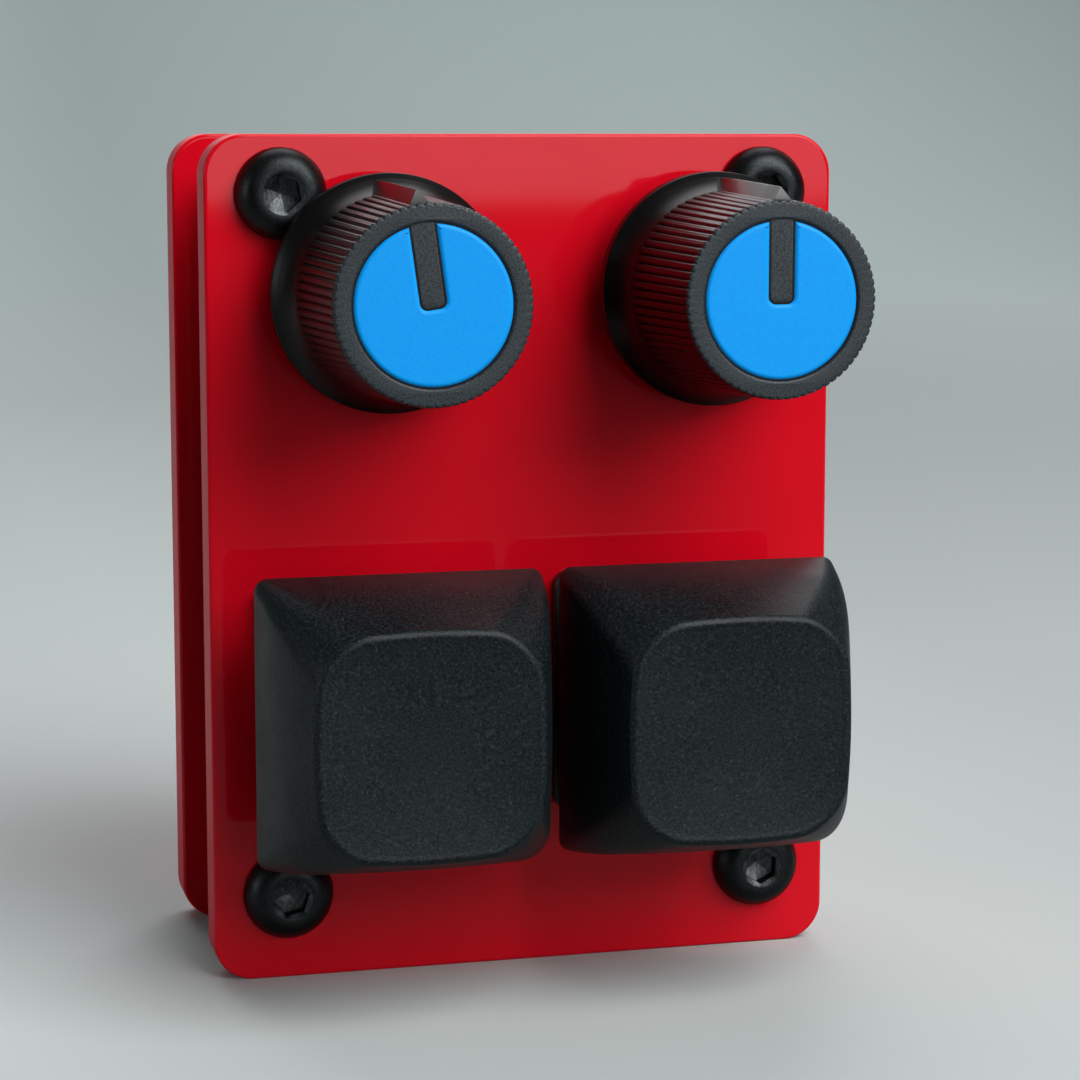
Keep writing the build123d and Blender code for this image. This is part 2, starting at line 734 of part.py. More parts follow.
def control_board():
    """The upper board, notched round the standoffs, that carries the potentiometers and the socket."""
    middle_z = (control_board_bottom + control_board_top) / 2
    notch = standoff_diameter / 2 + control_board_notch_gap
    lug_x = can_radius + lug_thickness / 2 - can_wall / 2
    with BuildPart() as board:
        with BuildSketch(layer(control_board_front)) as outline:
            with Locations((0, middle_z)):
                Rectangle(board_width, control_board_top - control_board_bottom)
            with Locations((-screw_x, screw_top_z), (screw_x, screw_top_z)):
                Rectangle(2 * notch, 2 * notch, mode=Mode.SUBTRACT)
            with Locations((-panel_width / 2, screw_top_z), (panel_width / 2, screw_top_z)):
                Rectangle(2 * (panel_width / 2 - screw_x), 2 * notch, mode=Mode.SUBTRACT)
            fillet(outline.vertices().group_by(Axis.Y)[0], board_corner_radius)
        extrude(amount=-board_thickness)
        for x, _ in knob_places.values():
            with BuildSketch(layer(control_board_front, x, knob_row_z)):
                with Locations(*terminal_row()):
                    Circle(terminal_width * corner_reach + board_hole_clearance)
                with Locations((-lug_x, 0), (lug_x, 0)):
                    Rectangle(lug_thickness + 2 * board_hole_clearance, lug_width + 2 * board_hole_clearance)
            extrude(amount=-board_thickness, mode=Mode.SUBTRACT)
        with BuildSketch(layer(control_board_front)):
            with Locations(*header_row()):
                Circle(header_pin_width * corner_reach + board_hole_clearance)
            with Locations(*socket_leg_places()):
                Rectangle(socket_leg_thickness + 2 * board_hole_clearance,
                          socket_leg_width + 2 * board_hole_clearance)
        extrude(amount=-board_thickness, mode=Mode.SUBTRACT)
    save(board, "control_board")


def header():
    """The pin header between the boards: its moulded strip, and its pins as a node of their own."""
    hole = header_pin_width + 2 * slot_clearance
    with BuildPart() as strip:
        with BuildSketch(layer(switch_board_back)):
            with Locations((0, header_z)):
                Rectangle(header_pins * header_pin_spacing, header_pin_spacing)
            with Locations(*header_row()):
                Rectangle(hole, hole, mode=Mode.SUBTRACT)
        extrude(amount=control_board_front - switch_board_back)
    save(strip, "board_header")
    with BuildPart() as pins:
        with BuildSketch(layer(switch_board_front + header_pin_reach)):
            with Locations(*header_row()):
                Rectangle(header_pin_width, header_pin_width)
        extrude(amount=control_board_back - switch_board_front - 2 * header_pin_reach)
    save(pins, "header_pins")


def lead_socket():
    """The socket for the lead: a rolled steel shell with four legs, and its moulded tongue."""
    mouth = Plane((socket_x, front_y - socket_centre_height, socket_top_z), x_dir=(1, 0, 0), z_dir=(0, 0, 1))
    bore = (socket_width - 2 * socket_wall, socket_height - 2 * socket_wall)
    with BuildPart() as shell:
        with BuildSketch(mouth):
            SlotOverall(socket_width, socket_height)
        extrude(amount=-socket_length)
        with BuildSketch(layer(control_board_back - terminal_reach)):
            with Locations(*socket_leg_places()):
                Rectangle(socket_leg_thickness, socket_leg_width)
        extrude(amount=socket_centre_height - control_board_back + terminal_reach)
        with BuildSketch(mouth):
            SlotOverall(*bore)
        extrude(amount=-socket_length, mode=Mode.SUBTRACT)
    save(shell, "socket_shell")
    with BuildPart() as tongue:
        with BuildSketch(mouth.offset(-socket_length)):
            SlotOverall(bore[0] - 2 * slot_clearance, bore[1] - 2 * slot_clearance)
        extrude(amount=socket_plug_stop)
        with BuildSketch(mouth.offset(-socket_length)):
            RectangleRounded(tongue_width, tongue_thickness, tongue_corner_radius)
        extrude(amount=socket_plug_stop + tongue_length)
    save(tongue, "socket_tongue")


def chip():
    """The square controller chip, set cornerwise, and its leads."""
    middle = (chip_leads_per_side - 1) / 2
    side_places = [(place - middle) * chip_lead_spacing for place in range(chip_leads_per_side)]
    with BuildPart() as body:
        with BuildSketch(layer(control_board_back, 0, chip_z, chip_turn)):
            RectangleRounded(chip_width, chip_width, chip_corner_radius)
        extrude(amount=-chip_height)
        chamfer(faces().sort_by(Axis.Y)[-1].edges(), chip_corner_radius)
    save(body, "chip_body")
    with BuildPart() as leads:
        for side in range(chip_sides):
            side_turn = chip_turn + 360 * side / chip_sides
            with BuildSketch(layer(control_board_back, 0, chip_z, side_turn)):
                with Locations(*[((chip_width + chip_lead_length) / 2, place) for place in side_places]):
                    Rectangle(chip_lead_length, chip_lead_width)
            extrude(amount=-chip_lead_thickness)
    save(leads, "chip_leads")


def board_part(name, size, places):
    """Like parts soldered flat on the rear of the control board, at places counted from the header row."""
    length, width, height = size
    with BuildPart() as part:
        with BuildSketch(layer(control_board_back)):
            with Locations(*[(x, header_z + rise) for x, rise in places]):
                Rectangle(length, width)
        extrude(amount=-height)
    save(part, name)


os.makedirs("parts", exist_ok=True)
panel("front_panel", 0, True)
panel("rear_panel", rear_panel_front, False)
standoffs()
screws("front_screws", 0, 1)
screws("rear_screws", rear_panel_back, -1)
for side, (knob_x, knob_turn) in knob_places.items():
    knob(side, knob_x, knob_turn)
    knob_insert(side, knob_x, knob_turn)
    pot_cover(side, knob_x)
    pot_base(side, knob_x)
    pot_track(side, knob_x)
    pot_terminals(side, knob_x)
    pot_shaft(side, knob_x, knob_turn)
    pot_wiper(side, knob_x, knob_turn)
for side, key_x in key_places.items():
    keycap(side, key_x)
    switch_base(side, key_x)
    switch_cover(side, key_x)
    switch_stem(side, key_x)
    switch_spring(side, key_x)
    switch_contacts(side, key_x)
switch_board()
control_board()
header()
lead_socket()
chip()
board_part("crystal", crystal_size, crystal_places)
board_part("regulator", regulator_size, regulator_places)
board_part("chip_passives", passive_size, passive_places)
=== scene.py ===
"""The looks of a small desktop controller: red acrylic panels, pointer knobs and black keys."""

import math

import bmesh
import bpy
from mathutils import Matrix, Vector
from mathutils.geometry import tessellate_polygon


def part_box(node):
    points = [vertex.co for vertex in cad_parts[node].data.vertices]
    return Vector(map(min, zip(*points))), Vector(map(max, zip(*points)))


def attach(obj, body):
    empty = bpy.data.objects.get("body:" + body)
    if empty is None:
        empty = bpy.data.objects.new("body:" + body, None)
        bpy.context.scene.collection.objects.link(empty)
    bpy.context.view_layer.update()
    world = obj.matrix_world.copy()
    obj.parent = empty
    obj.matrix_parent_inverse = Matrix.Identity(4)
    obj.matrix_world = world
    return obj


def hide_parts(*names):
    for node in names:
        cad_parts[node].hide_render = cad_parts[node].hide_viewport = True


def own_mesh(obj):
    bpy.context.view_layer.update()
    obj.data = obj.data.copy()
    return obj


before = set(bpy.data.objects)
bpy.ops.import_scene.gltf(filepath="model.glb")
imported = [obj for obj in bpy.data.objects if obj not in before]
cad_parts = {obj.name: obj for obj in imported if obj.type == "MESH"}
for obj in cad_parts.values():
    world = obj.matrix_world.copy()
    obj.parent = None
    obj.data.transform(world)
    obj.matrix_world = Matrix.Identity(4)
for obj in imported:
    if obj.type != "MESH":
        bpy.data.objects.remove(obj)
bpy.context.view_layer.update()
scene = bpy.context.scene

# Sizes in millimetres. A height is counted in front of the front panel's face.
MM = 0.001
FRONT_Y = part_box("front_panel")[0].y / MM
CENTRE = 0.05  # the radius at which a turned form closes in a small flat
PANEL_WIDTH, PANEL_HEIGHT, PANEL_CORNER = 40.64, 53.34, 2.5
PANEL_EDGE, PANEL_RIM = 0.2, 0.12
PANEL_THICKNESS, PANEL_GAP = 3.0, 12.0
REAR_PANEL = -PANEL_THICKNESS - PANEL_GAP
SCREW_HOLE, SHAFT_HOLE, SWITCH_HOLE, SWITCH_HOLE_CORNER = 1.6, 3.6, 14.0, 0.25
SCREW_PLACES = [(x, z) for x in (-15.6, 15.6) for z in (5.5, 49.69)]
KNOBS = {"left": (-9.35, 8.0), "right": (11.65, 0.0)}  # place across, and turn in degrees
KNOB_Z = 43.6
KEYS = {"left": -9.525, "right": 9.525}
KEY_Z, KEY_TRAVEL = 17.75, 4.0


def linear(hex_colour):
    """An sRGB hex colour as linear red, green, blue and alpha."""
    parts = [int(hex_colour[i:i + 2], 16) / 255 for i in (1, 3, 5)]
    return [c / 12.92 if c <= 0.04045 else ((c + 0.055) / 1.055) ** 2.4 for c in parts] + [1.0]


def per_mm(size):
    """The scale of a pattern whose blotches are about a size in millimetres across."""
    return 1.0 / (size * MM)


def wire(tree, node, links):
    """Links outputs to a node's inputs."""
    for name, source in links.items():
        tree.links.new(source, node.inputs[name])


def add(tree, kind, settings=None, links=None, out=0):
    """Adds a node with its settings, colour stops and links, and gives back one of its outputs."""
    made = tree.nodes.new(kind)
    for name, value in (settings or {}).items():
        if name == "stops":
            stops = made.color_ramp.elements
            while len(stops) < len(value):
                stops.new(0.5)
            for stop, (where, colour) in zip(stops, value):
                stop.position, stop.color = where, linear(colour)
        elif isinstance(name, int) or name in made.inputs:
            made.inputs[name].default_value = value
        else:
            setattr(made, name, value)
    wire(tree, made, links or {})
    return made.outputs[out]


def finish_of(name, **settings):
    """A material with its shader, its tree, and the place on the piece in metres."""
    material = bpy.data.materials.new(name)
    material.use_nodes = True
    tree = material.node_tree
    shader = tree.nodes["Principled BSDF"]
    for socket, value in settings.items():
        shader.inputs[socket.replace("_", " ")].default_value = value
    return material, tree, shader, add(tree, "ShaderNodeTexCoord", out="Object")


# Finishes

def cast_acrylic():
    """Cast acrylic, flame-smooth on its faces and cut by laser at its edges.

    The eye gets deep red faces that mirror the room with a faint wave of the casting, and duller
    edges, where the beam left streaks 0.14 mm apart through the sheet. The edges are paler red,
    partly as the cut leaves them and partly a painted glow of the light the sheet carries there.
    """
    material, tree, shader, place = finish_of("polished_red_cast_acrylic", IOR=1.49,
                                              Specular_IOR_Level=0.26)
    normal = add(tree, "ShaderNodeNewGeometry", out="Normal")
    facing = add(tree, "ShaderNodeSeparateXYZ", None, {"Vector": normal}, "Y")
    flat = add(tree, "ShaderNodeMath", {"operation": "ABSOLUTE"}, {0: facing})
    cut = add(tree, "ShaderNodeMapRange",
              {"From Min": 0.2, "From Max": 0.7, "To Min": 1.0, "To Max": 0.0}, {"Value": flat})
    broad = add(tree, "ShaderNodeTexNoise", {"Scale": per_mm(9.0), "Roughness": 0.6},
                {"Vector": place})
    blotch = add(tree, "ShaderNodeTexNoise", {"Scale": per_mm(1.5), "Roughness": 0.6},
                 {"Vector": place})
    face_red = add(tree, "ShaderNodeValToRGB", {"stops": [(0.3, "#dc0a1e"), (0.7, "#e20b21")]},
                   {"Fac": broad})
    # Paler red on the cut edges: partly the cut itself, partly a painted glow of piped light
    edge_red_and_painted_glow = add(tree, "ShaderNodeValToRGB", {"stops": [(0.3, "#ec1c32"), (0.7, "#f4263c")]},
                   {"Fac": blotch})
    red = add(tree, "ShaderNodeMix", {"data_type": "RGBA"}, {0: cut, 6: face_red, 7: edge_red_and_painted_glow}, 2)
    dulled = add(tree, "ShaderNodeMapRange", {"To Min": 0.05, "To Max": 0.42}, {"Value": cut})
    through = add(tree, "ShaderNodeMapping", {"Scale": (1.0, 0.06, 1.0)}, {"Vector": place})
    streaks = add(tree, "ShaderNodeTexNoise",
                  {"Scale": per_mm(0.14), "Detail": 3.0, "Roughness": 0.6}, {"Vector": through})
    cast = add(tree, "ShaderNodeTexNoise",
               {"Scale": per_mm(12.0), "Detail": 1.0, "Roughness": 0.6}, {"Vector": place})
    wave = add(tree, "ShaderNodeBump", {"Strength": 1.0, "Distance": 0.004 * MM},
               {"Height": cast})
    depth = add(tree, "ShaderNodeMath", {"operation": "MULTIPLY"}, {0: streaks, 1: cut})
    bumps = add(tree, "ShaderNodeBump", {"Strength": 1.0, "Distance": 0.006 * MM},
                {"Height": depth, "Normal": wave})
    wire(tree, shader, {"Base Color": red, "Roughness": dulled, "Normal": bumps})
    return material


def grained_plastic(name, dark, light, roughness, grain_mm, depth_mm, specular=0.5, speck=None):
    """Plastic moulded against an etched or polished tool, whose grain breaks up its highlights.

    Pits of half the grain's size lie in it, and its gloss changes slowly over 22 grains.
    """
    material, tree, shader, place = finish_of(name, IOR=1.5, Specular_IOR_Level=specular)
    grain = add(tree, "ShaderNodeTexNoise",
                {"Scale": per_mm(grain_mm), "Detail": 4.0, "Roughness": 0.6}, {"Vector": place})
    cloud = add(tree, "ShaderNodeTexNoise", {"Scale": per_mm(grain_mm * 22), "Roughness": 0.6},
                {"Vector": place})
    pits = add(tree, "ShaderNodeTexNoise", {"Scale": per_mm(grain_mm * 0.55), "Roughness": 0.6},
               {"Vector": place})
    colour = add(tree, "ShaderNodeValToRGB",
                 {"stops": [(0.36, dark), (0.6, light), (0.7, speck or light)]}, {"Fac": grain})
    gloss = add(tree, "ShaderNodeMapRange",
                {"From Min": 0.3, "From Max": 0.7,
                 "To Min": roughness - 0.04, "To Max": roughness + 0.05}, {"Value": cloud})
    coarse = add(tree, "ShaderNodeBump", {"Strength": 1.0, "Distance": depth_mm * MM},
                 {"Height": grain})
    fine = add(tree, "ShaderNodeBump", {"Strength": 1.0, "Distance": depth_mm * 0.5 * MM},
               {"Height": pits, "Normal": coarse})
    wire(tree, shader, {"Base Color": colour, "Roughness": gloss, "Normal": fine})
    return material


def metal(name, dark, light, roughness, stretch, line_mm=0.05, depth_mm=0.003):
    """Metal with the fine lines that its tool or rolls left in it, and slow changes of gloss."""
    material, tree, shader, place = finish_of(name, Metallic=1.0)
    drawn = add(tree, "ShaderNodeMapping", {"Scale": stretch}, {"Vector": place})
    lines = add(tree, "ShaderNodeTexNoise",
                {"Scale": per_mm(line_mm), "Detail": 3.0, "Roughness": 0.6}, {"Vector": drawn})
    cloud = add(tree, "ShaderNodeTexNoise", {"Scale": per_mm(3.0), "Roughness": 0.6},
                {"Vector": place})
    colour = add(tree, "ShaderNodeValToRGB", {"stops": [(0.3, dark), (0.7, light)]},
                 {"Fac": lines})
    gloss = add(tree, "ShaderNodeMapRange",
                {"From Min": 0.3, "From Max": 0.7,
                 "To Min": roughness * 0.85, "To Max": roughness * 1.25}, {"Value": cloud})
    bumps = add(tree, "ShaderNodeBump", {"Strength": 1.0, "Distance": depth_mm * MM},
                {"Height": lines})
    wire(tree, shader, {"Base Color": colour, "Roughness": gloss, "Normal": bumps})
    return material


def laminate():
    """Glass and epoxy board under solder mask, sawn to size.

    The eye gets glossy green faces, and bare straw-coloured edges with the glass in 0.16 mm layers.
    """
    material, tree, shader, place = finish_of("masked_glass_epoxy_board", IOR=1.5)
    normal = add(tree, "ShaderNodeNewGeometry", out="Normal")
    facing = add(tree, "ShaderNodeSeparateXYZ", None, {"Vector": normal}, "Y")
    flat = add(tree, "ShaderNodeMath", {"operation": "ABSOLUTE"}, {0: facing})
    sawn = add(tree, "ShaderNodeMapRange",
               {"From Min": 0.3, "From Max": 0.7, "To Min": 1.0, "To Max": 0.0}, {"Value": flat})
    along = add(tree, "ShaderNodeMapping", {"Scale": (0.08, 1.0, 0.08)}, {"Vector": place})
    layers = add(tree, "ShaderNodeTexNoise", {"Scale": per_mm(0.16), "Roughness": 0.6},
                 {"Vector": along})
    flow = add(tree, "ShaderNodeTexNoise", {"Scale": per_mm(2.5), "Roughness": 0.6},
               {"Vector": place})
    mask = add(tree, "ShaderNodeValToRGB", {"stops": [(0.35, "#0b3a22"), (0.65, "#0f4629")]},
               {"Fac": flow})
    straw = add(tree, "ShaderNodeValToRGB", {"stops": [(0.35, "#6f7440"), (0.65, "#97935c")]},
                {"Fac": layers})
    colour = add(tree, "ShaderNodeMix", {"data_type": "RGBA"}, {0: sawn, 6: mask, 7: straw}, 2)
    gloss = add(tree, "ShaderNodeMapRange", {"To Min": 0.2, "To Max": 0.65}, {"Value": sawn})
    bumps = add(tree, "ShaderNodeBump", {"Strength": 1.0, "Distance": 0.01 * MM},
                {"Height": layers})
    wire(tree, shader, {"Base Color": colour, "Roughness": gloss, "Normal": bumps})
    return material


# The finishes, each with the size of its grain or lines in mm. A pixel covers 0.064 mm of the
# front, so a grain that is really finer is drawn as coarse as it needs to show.
EVEN = (1.0, 1.0, 1.0)  # a grain that runs no way in particular
acrylic = cast_acrylic()
# Steel in a hot black bath: a dull near-black film with a soft broad sheen. Its grain is really
# about 0.02 mm.
black_oxide = metal("black_oxide_screw_steel", "#222526", "#383b3c", 0.38, EVEN, 0.12, 0.005)
# The same steel in the sockets and round their mouths: greyer, partly rubbed by the key and
# partly a painted highlight, with upright scuffs, really about 0.03 mm wide
worn_steel_with_painted_highlight = metal("steel_worn_and_painted_bright", "#36393b", "#686c6d", 0.42, (1.0, 1.0, 0.3),
                   0.12, 0.006)
# Bar turned in a lathe: bright, with rings round it that stretch each highlight
turned_aluminium = metal("turned_aluminium", "#8f9192", "#c3c5c6", 0.28, (0.15, 3.0, 0.15))
# ABS from a spark-etched tool: a dry dark grey end face with a fine grain, really about 0.05 mm
knob_abs = grained_plastic("etched_black_abs", "#0d1214", "#343e43", 0.38, 0.11, 0.011, 0.42)
# ABS from a smooth tool: nearly black, so that the flutes show by their highlights alone
flute_abs = grained_plastic("moulded_black_abs", "#060606", "#0b0b0c", 0.34, 0.3, 0.0004, 0.22)
# ABS from a polished tool: the pointer's flanks mirror the red panel
rib_abs = grained_plastic("polished_black_abs", "#0a0b0c", "#101214", 0.28, 0.3, 0.0004, 0.62)
# Coloured ABS, lightly etched: an even matt blue. Its grain is really about 0.05 mm.
insert_abs = grained_plastic("etched_blue_abs", "#009cff", "#00a8ff", 0.42, 0.13, 0.004, 0.2)
# PBT from a deeply etched tool: dry black with paler specks, as on a cast stone. Its grain is
# really about 0.08 mm.
keycap_pbt = grained_plastic("etched_black_pbt", "#020506", "#1a2528", 0.42, 0.17, 0.022, 0.27,
                             "#2f3b3e")
# Nylon from a smooth tool: charcoal with a soft sheen
nylon = grained_plastic("moulded_black_nylon", "#151617", "#1f2021", 0.4, 0.2, 0.006)
# Acetal: waxy brown
acetal = grained_plastic("moulded_brown_acetal", "#6b3f2c", "#7c4a34", 0.35, 0.3, 0.003)
# Paper pressed in phenolic resin: matt brown with long blotches
phenolic = grained_plastic("pressed_phenolic", "#5a3a24", "#7a5232", 0.5, 0.5, 0.01)
# Carbon ink printed on the base: dead black
carbon = grained_plastic("printed_carbon_track", "#141414", "#1e1e1f", 0.6, 0.1, 0.004)
# Filled epoxy from an etched tool: dusty dark grey
epoxy = grained_plastic("moulded_chip_epoxy", "#18191a", "#232425", 0.55, 0.08, 0.006)
# Fired ceramic: sandy brown
ceramic = grained_plastic("sintered_ceramic", "#8b6d4c", "#a98a62", 0.4, 0.3, 0.004)
# Wire pulled through a die: bright and smooth
spring_steel = metal("drawn_spring_steel", "#8a8c8e", "#b9bbbd", 0.25, EVEN)
# Strip cut in a press: yellow, with the rolls' lines along it
brass = metal("stamped_brass", "#a98a4a", "#cfae68", 0.27, (1.0, 0.2, 1.0))
# Steel in a zinc bath: cool grey with faint upright lines
zinc_steel = metal("zinc_plated_steel", "#85888a", "#b4b6b6", 0.32, (1.0, 1.0, 0.12), 0.08)
# Rolled sheet: bright, with upright lines
socket_steel = metal("rolled_stainless_steel", "#8e9091", "#bfc1c2", 0.24, (1.0, 1.0, 0.1), 0.06)
# Solder that has flowed and set: bright with a slight orange peel
tin = metal("reflowed_tin", "#9c9ea0", "#c9cbcc", 0.22, EVEN, 0.4, 0.006)
board = laminate()
# Copper under the mask: a glossy paler green
masked_copper = grained_plastic("solder_mask_over_copper", "#1a6238", "#20713f", 0.2, 0.3, 0.002)


# Making pieces

def make_piece(name, forms, material, body, replaced=(), crease=35):
    """One object from forms, each a list of points as x, z and height in mm and a list of faces."""
    points, faces = [], []
    for form_points, form_faces in forms:
        start = len(points)
        points += [(x * MM, (FRONT_Y - height) * MM, z * MM) for x, z, height in form_points]
        faces += [[start + i for i in face] for face in form_faces]
    mesh = bpy.data.meshes.new(name)
    mesh.from_pydata(points, [], faces)
    work = bmesh.new()
    work.from_mesh(mesh)
    bmesh.ops.recalc_face_normals(work, faces=work.faces)
    work.to_mesh(mesh)
    work.free()
    return dress(bpy.data.objects.new(name, mesh), material, body, replaced, crease)


def dress(made, material, body, replaced, crease):
    """Puts a new object in the scene with its finish, smooth shading, body and slot."""
    scene.collection.objects.link(made)
    made.data.materials.clear()
    made.data.materials.append(material)
    made.data.shade_smooth()
    made.data.set_sharp_from_angle(angle=math.radians(crease))
    weigh = made.modifiers.new("weighted normals", "WEIGHTED_NORMAL")
    weigh.keep_sharp = True
    weigh.weight = 60
    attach(made, body)
    if replaced:
        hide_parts(*replaced)
    return made


def softened(node, material, body, edge_mm=0.08):
    """A copy of a solid with its sharp edges rounded, as moulding, pressing or deburring does."""
    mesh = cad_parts[node].data.copy()
    mesh.name = f"{node}_finished"
    work = bmesh.new()
    work.from_mesh(mesh)
    bmesh.ops.remove_doubles(work, verts=work.verts, dist=1e-7)
    bmesh.ops.dissolve_limit(work, angle_limit=math.radians(1.0), verts=work.verts,
                             edges=work.edges)
    work.to_mesh(mesh)
    work.free()
    made = bpy.data.objects.new(f"{node}_finished", mesh)
    rounding = made.modifiers.new("edge rounding", "BEVEL")
    rounding.width = edge_mm * MM
    rounding.segments = 2
    rounding.limit_method = "ANGLE"
    rounding.angle_limit = math.radians(40)
    rounding.use_clamp_overlap = True
    return dress(made, material, body, (node,), 32)


# Outlines and forms, in millimetres

def skin(rings, closed=(True, True), looped=False):
    """A form through rings of as many points each, closed at its first and last ring if asked."""
    count = len(rings[0])
    points = [point for ring in rings for point in ring]
    faces = []
    levels = len(rings)
    for level in range(levels if looped else levels - 1):
        low, high = level * count, (level + 1) % levels * count
        for i in range(count):
            j = (i + 1) % count
            faces.append((low + i, low + j, high + j, high + i))
    if not looped:
        for wanted, level in zip(closed, (0, levels - 1)):
            if wanted:
                faces.append(tuple(level * count + i for i in range(count)))
    return points, faces


def around(steps, turn=0.0):
    """Angles round a circle, in radians, the first one at a turn in degrees."""
    return [math.radians(turn) + 2 * math.pi * i / steps for i in range(steps)]


def turned(profile, x, z, steps=96, looped=False):
    """A turned form from its profile of radii and heights."""
    rings = [[(x + r * math.cos(a), z + r * math.sin(a), h) for a in around(steps)]
             for r, h in profile]
    return skin(rings, looped=looped)


def arc_between(centre, start, end, steps):
    """Points on the shorter arc round a centre, from a start to an end, as radius and height."""
    first, last = Vector(start) - Vector(centre), Vector(end) - Vector(centre)
    low = math.atan2(first.y, first.x)
    turn = (math.atan2(last.y, last.x) - low + math.pi) % (2 * math.pi) - math.pi
    angles = [low + turn * step / steps for step in range(steps + 1)]
    return [(centre[0] + first.length * math.cos(angle),
             centre[1] + first.length * math.sin(angle)) for angle in angles]


def rounded(corners, steps=5):
    """A profile through corners of radius, height and rounding, with an arc at each rounding."""
    path = []
    for i, (r, h, rounding) in enumerate(corners):
        corner = Vector((r, h))
        if not rounding or i in (0, len(corners) - 1):
            path.append((r, h))
            continue
        back = (Vector(corners[i - 1][:2]) - corner).normalized()
        ahead = (Vector(corners[i + 1][:2]) - corner).normalized()
        half = back.angle(ahead) / 2
        reach = rounding / math.tan(half)
        centre = corner + (back + ahead).normalized() * (rounding / math.sin(half))
        path += arc_between(centre, corner + back * reach, corner + ahead * reach, steps)
    return path


def ring_outline(x, z, radius, steps=64):
    """The points of a circle."""
    return [(x + radius * math.cos(a), z + radius * math.sin(a)) for a in around(steps)]


def steps_to(start, end, steps):
    """The points between two others, where the straight from one to the other has steps."""
    return [tuple(Vector(start).lerp(Vector(end), s / steps)) for s in range(1, steps)]


def box_outline(x, z, width, depth, corner, corner_steps=10, side_steps=1):
    """The points of a rectangle with rounded corners, anticlockwise from its right side."""
    points = []
    for quarter, (sx, sz) in enumerate(((1, 1), (-1, 1), (-1, -1), (1, -1))):
        angle = quarter * math.pi / 2
        cx, cz = x + sx * (width / 2 - corner), z + sz * (depth / 2 - corner)
        angles = [angle + math.pi / 2 * i / corner_steps for i in range(corner_steps + 1)]
        arc = [(cx + corner * math.cos(a), cz + corner * math.sin(a)) for a in angles]
        if points:
            points += steps_to(points[-1], arc[0], side_steps)
        points += arc
    return points + steps_to(points[-1], points[0], side_steps)


def area_of(outline):
    """The signed area of an outline, above 0 where it runs anticlockwise."""
    pairs = zip(outline, outline[1:] + outline[:1])
    return sum(a[0] * b[1] - b[0] * a[1] for a, b in pairs) / 2


def drawn_in(outline, inset):
    """An outline moved to its left by an inset, which is inwards for an anticlockwise one."""
    moved = []
    count = len(outline)
    for i in range(count):
        before, here, after = (Vector(outline[(i + k) % count]) for k in (-1, 0, 1))
        first, second = (here - before).normalized(), (after - here).normalized()
        normal = Vector((-first.y - second.y, first.x + second.x))
        normal = normal / max(1e-6, 1 + first.dot(second))
        moved.append(tuple(here + normal * inset))
    return moved


def plate(outline, holes, back, front, edge, steps=4, rim=0.0):
    """A flat form between two heights, with rounded edges, from its outline and its holes.

    A narrow rim inside the rounding keeps the faces within it flat in their shading as well.
    """
    loops = [outline if area_of(outline) > 0 else outline[::-1]]
    loops += [hole if area_of(hole) < 0 else hole[::-1] for hole in holes]
    turns = [math.pi / 2 * step / steps for step in range(steps + 1)]
    levels = [(edge * (1 - math.sin(a)), front - edge * (1 - math.cos(a))) for a in turns]
    levels += [(edge * (1 - math.sin(a)), back + edge * (1 - math.cos(a))) for a in reversed(turns)]
    if rim:
        levels = [(edge + rim, front), *levels, (edge + rim, back)]
    points, faces, tops, bottoms = [], [], [], []
    for loop in loops:
        start = len(points)
        rings = [[(x, z, height) for x, z in drawn_in(loop, inset)] for inset, height in levels]
        ring_points, ring_faces = skin(rings, (False, False))
        points += ring_points
        faces += [tuple(start + i for i in face) for face in ring_faces]
        end = start + len(ring_points)
        tops.append(list(range(start, start + len(loop))))
        bottoms.append(list(range(end - len(loop), end)))
    for side in (tops, bottoms):
        flat = [i for loop in side for i in loop]
        cells = tessellate_polygon([[Vector((points[i][0], points[i][1], 0)) for i in loop]
                                    for loop in side])
        faces += [tuple(flat[i] for i in cell) for cell in cells]
    return points, faces


# Panels
sheet = box_outline(0, PANEL_HEIGHT / 2, PANEL_WIDTH, PANEL_HEIGHT, PANEL_CORNER, 20)
screw_holes = [ring_outline(x, z, SCREW_HOLE, 40) for x, z in SCREW_PLACES]
control_holes = [ring_outline(x, KNOB_Z, SHAFT_HOLE) for x, _ in KNOBS.values()]
control_holes += [box_outline(x, KEY_Z, SWITCH_HOLE, SWITCH_HOLE, SWITCH_HOLE_CORNER, 4)
                  for x in KEYS.values()]
for where, holes, back in (("front", screw_holes + control_holes, -PANEL_THICKNESS),
                           ("rear", screw_holes, REAR_PANEL - PANEL_THICKNESS)):
    panel = plate(sheet, holes, back, back + PANEL_THICKNESS, PANEL_EDGE, 4, PANEL_RIM)
    make_piece(f"{where}_panel_polished", [panel], acrylic, "case",
               (f"{where}_panel",))

# Screws and standoffs
HEAD_RADIUS, HEAD_HEIGHT, HEAD_RIM, HEAD_SEAT = 2.85, 1.65, 0.35, 2.72
HEAD_FOOT, HEAD_CROWN, CROWN_LEAN, CROWN_STEPS = 0.1, 1.55, 17, 8
SHANK_RADIUS, SHANK_LENGTH, SHANK_CHAMFER = 1.5, 8.0, 0.25
SOCKET_WIDTH, SOCKET_DEPTH, SOCKET_MOUTH, SOCKET_CONE = 2.0, 1.0, 1.36, 0.4
SOCKET_LIP, LIP_DROP, SOCKET_SINK, FLOOR_DROP, FLOOR_SCALE = 0.06, 0.01, 0.16, 0.04, 0.93
SCREW_STEPS = 96  # a multiple of 6, so that the hexagon's corners are sharp
SCREW_TURNS = {"front": (12, 41, 27, 5), "rear": (33, 8, 49, 20)}  # as they happened to stop
STANDOFF_RADIUS, STANDOFF_BORE, STANDOFF_CHAMFER, STANDOFF_EDGE = 2.25, 1.55, 0.3, 0.05


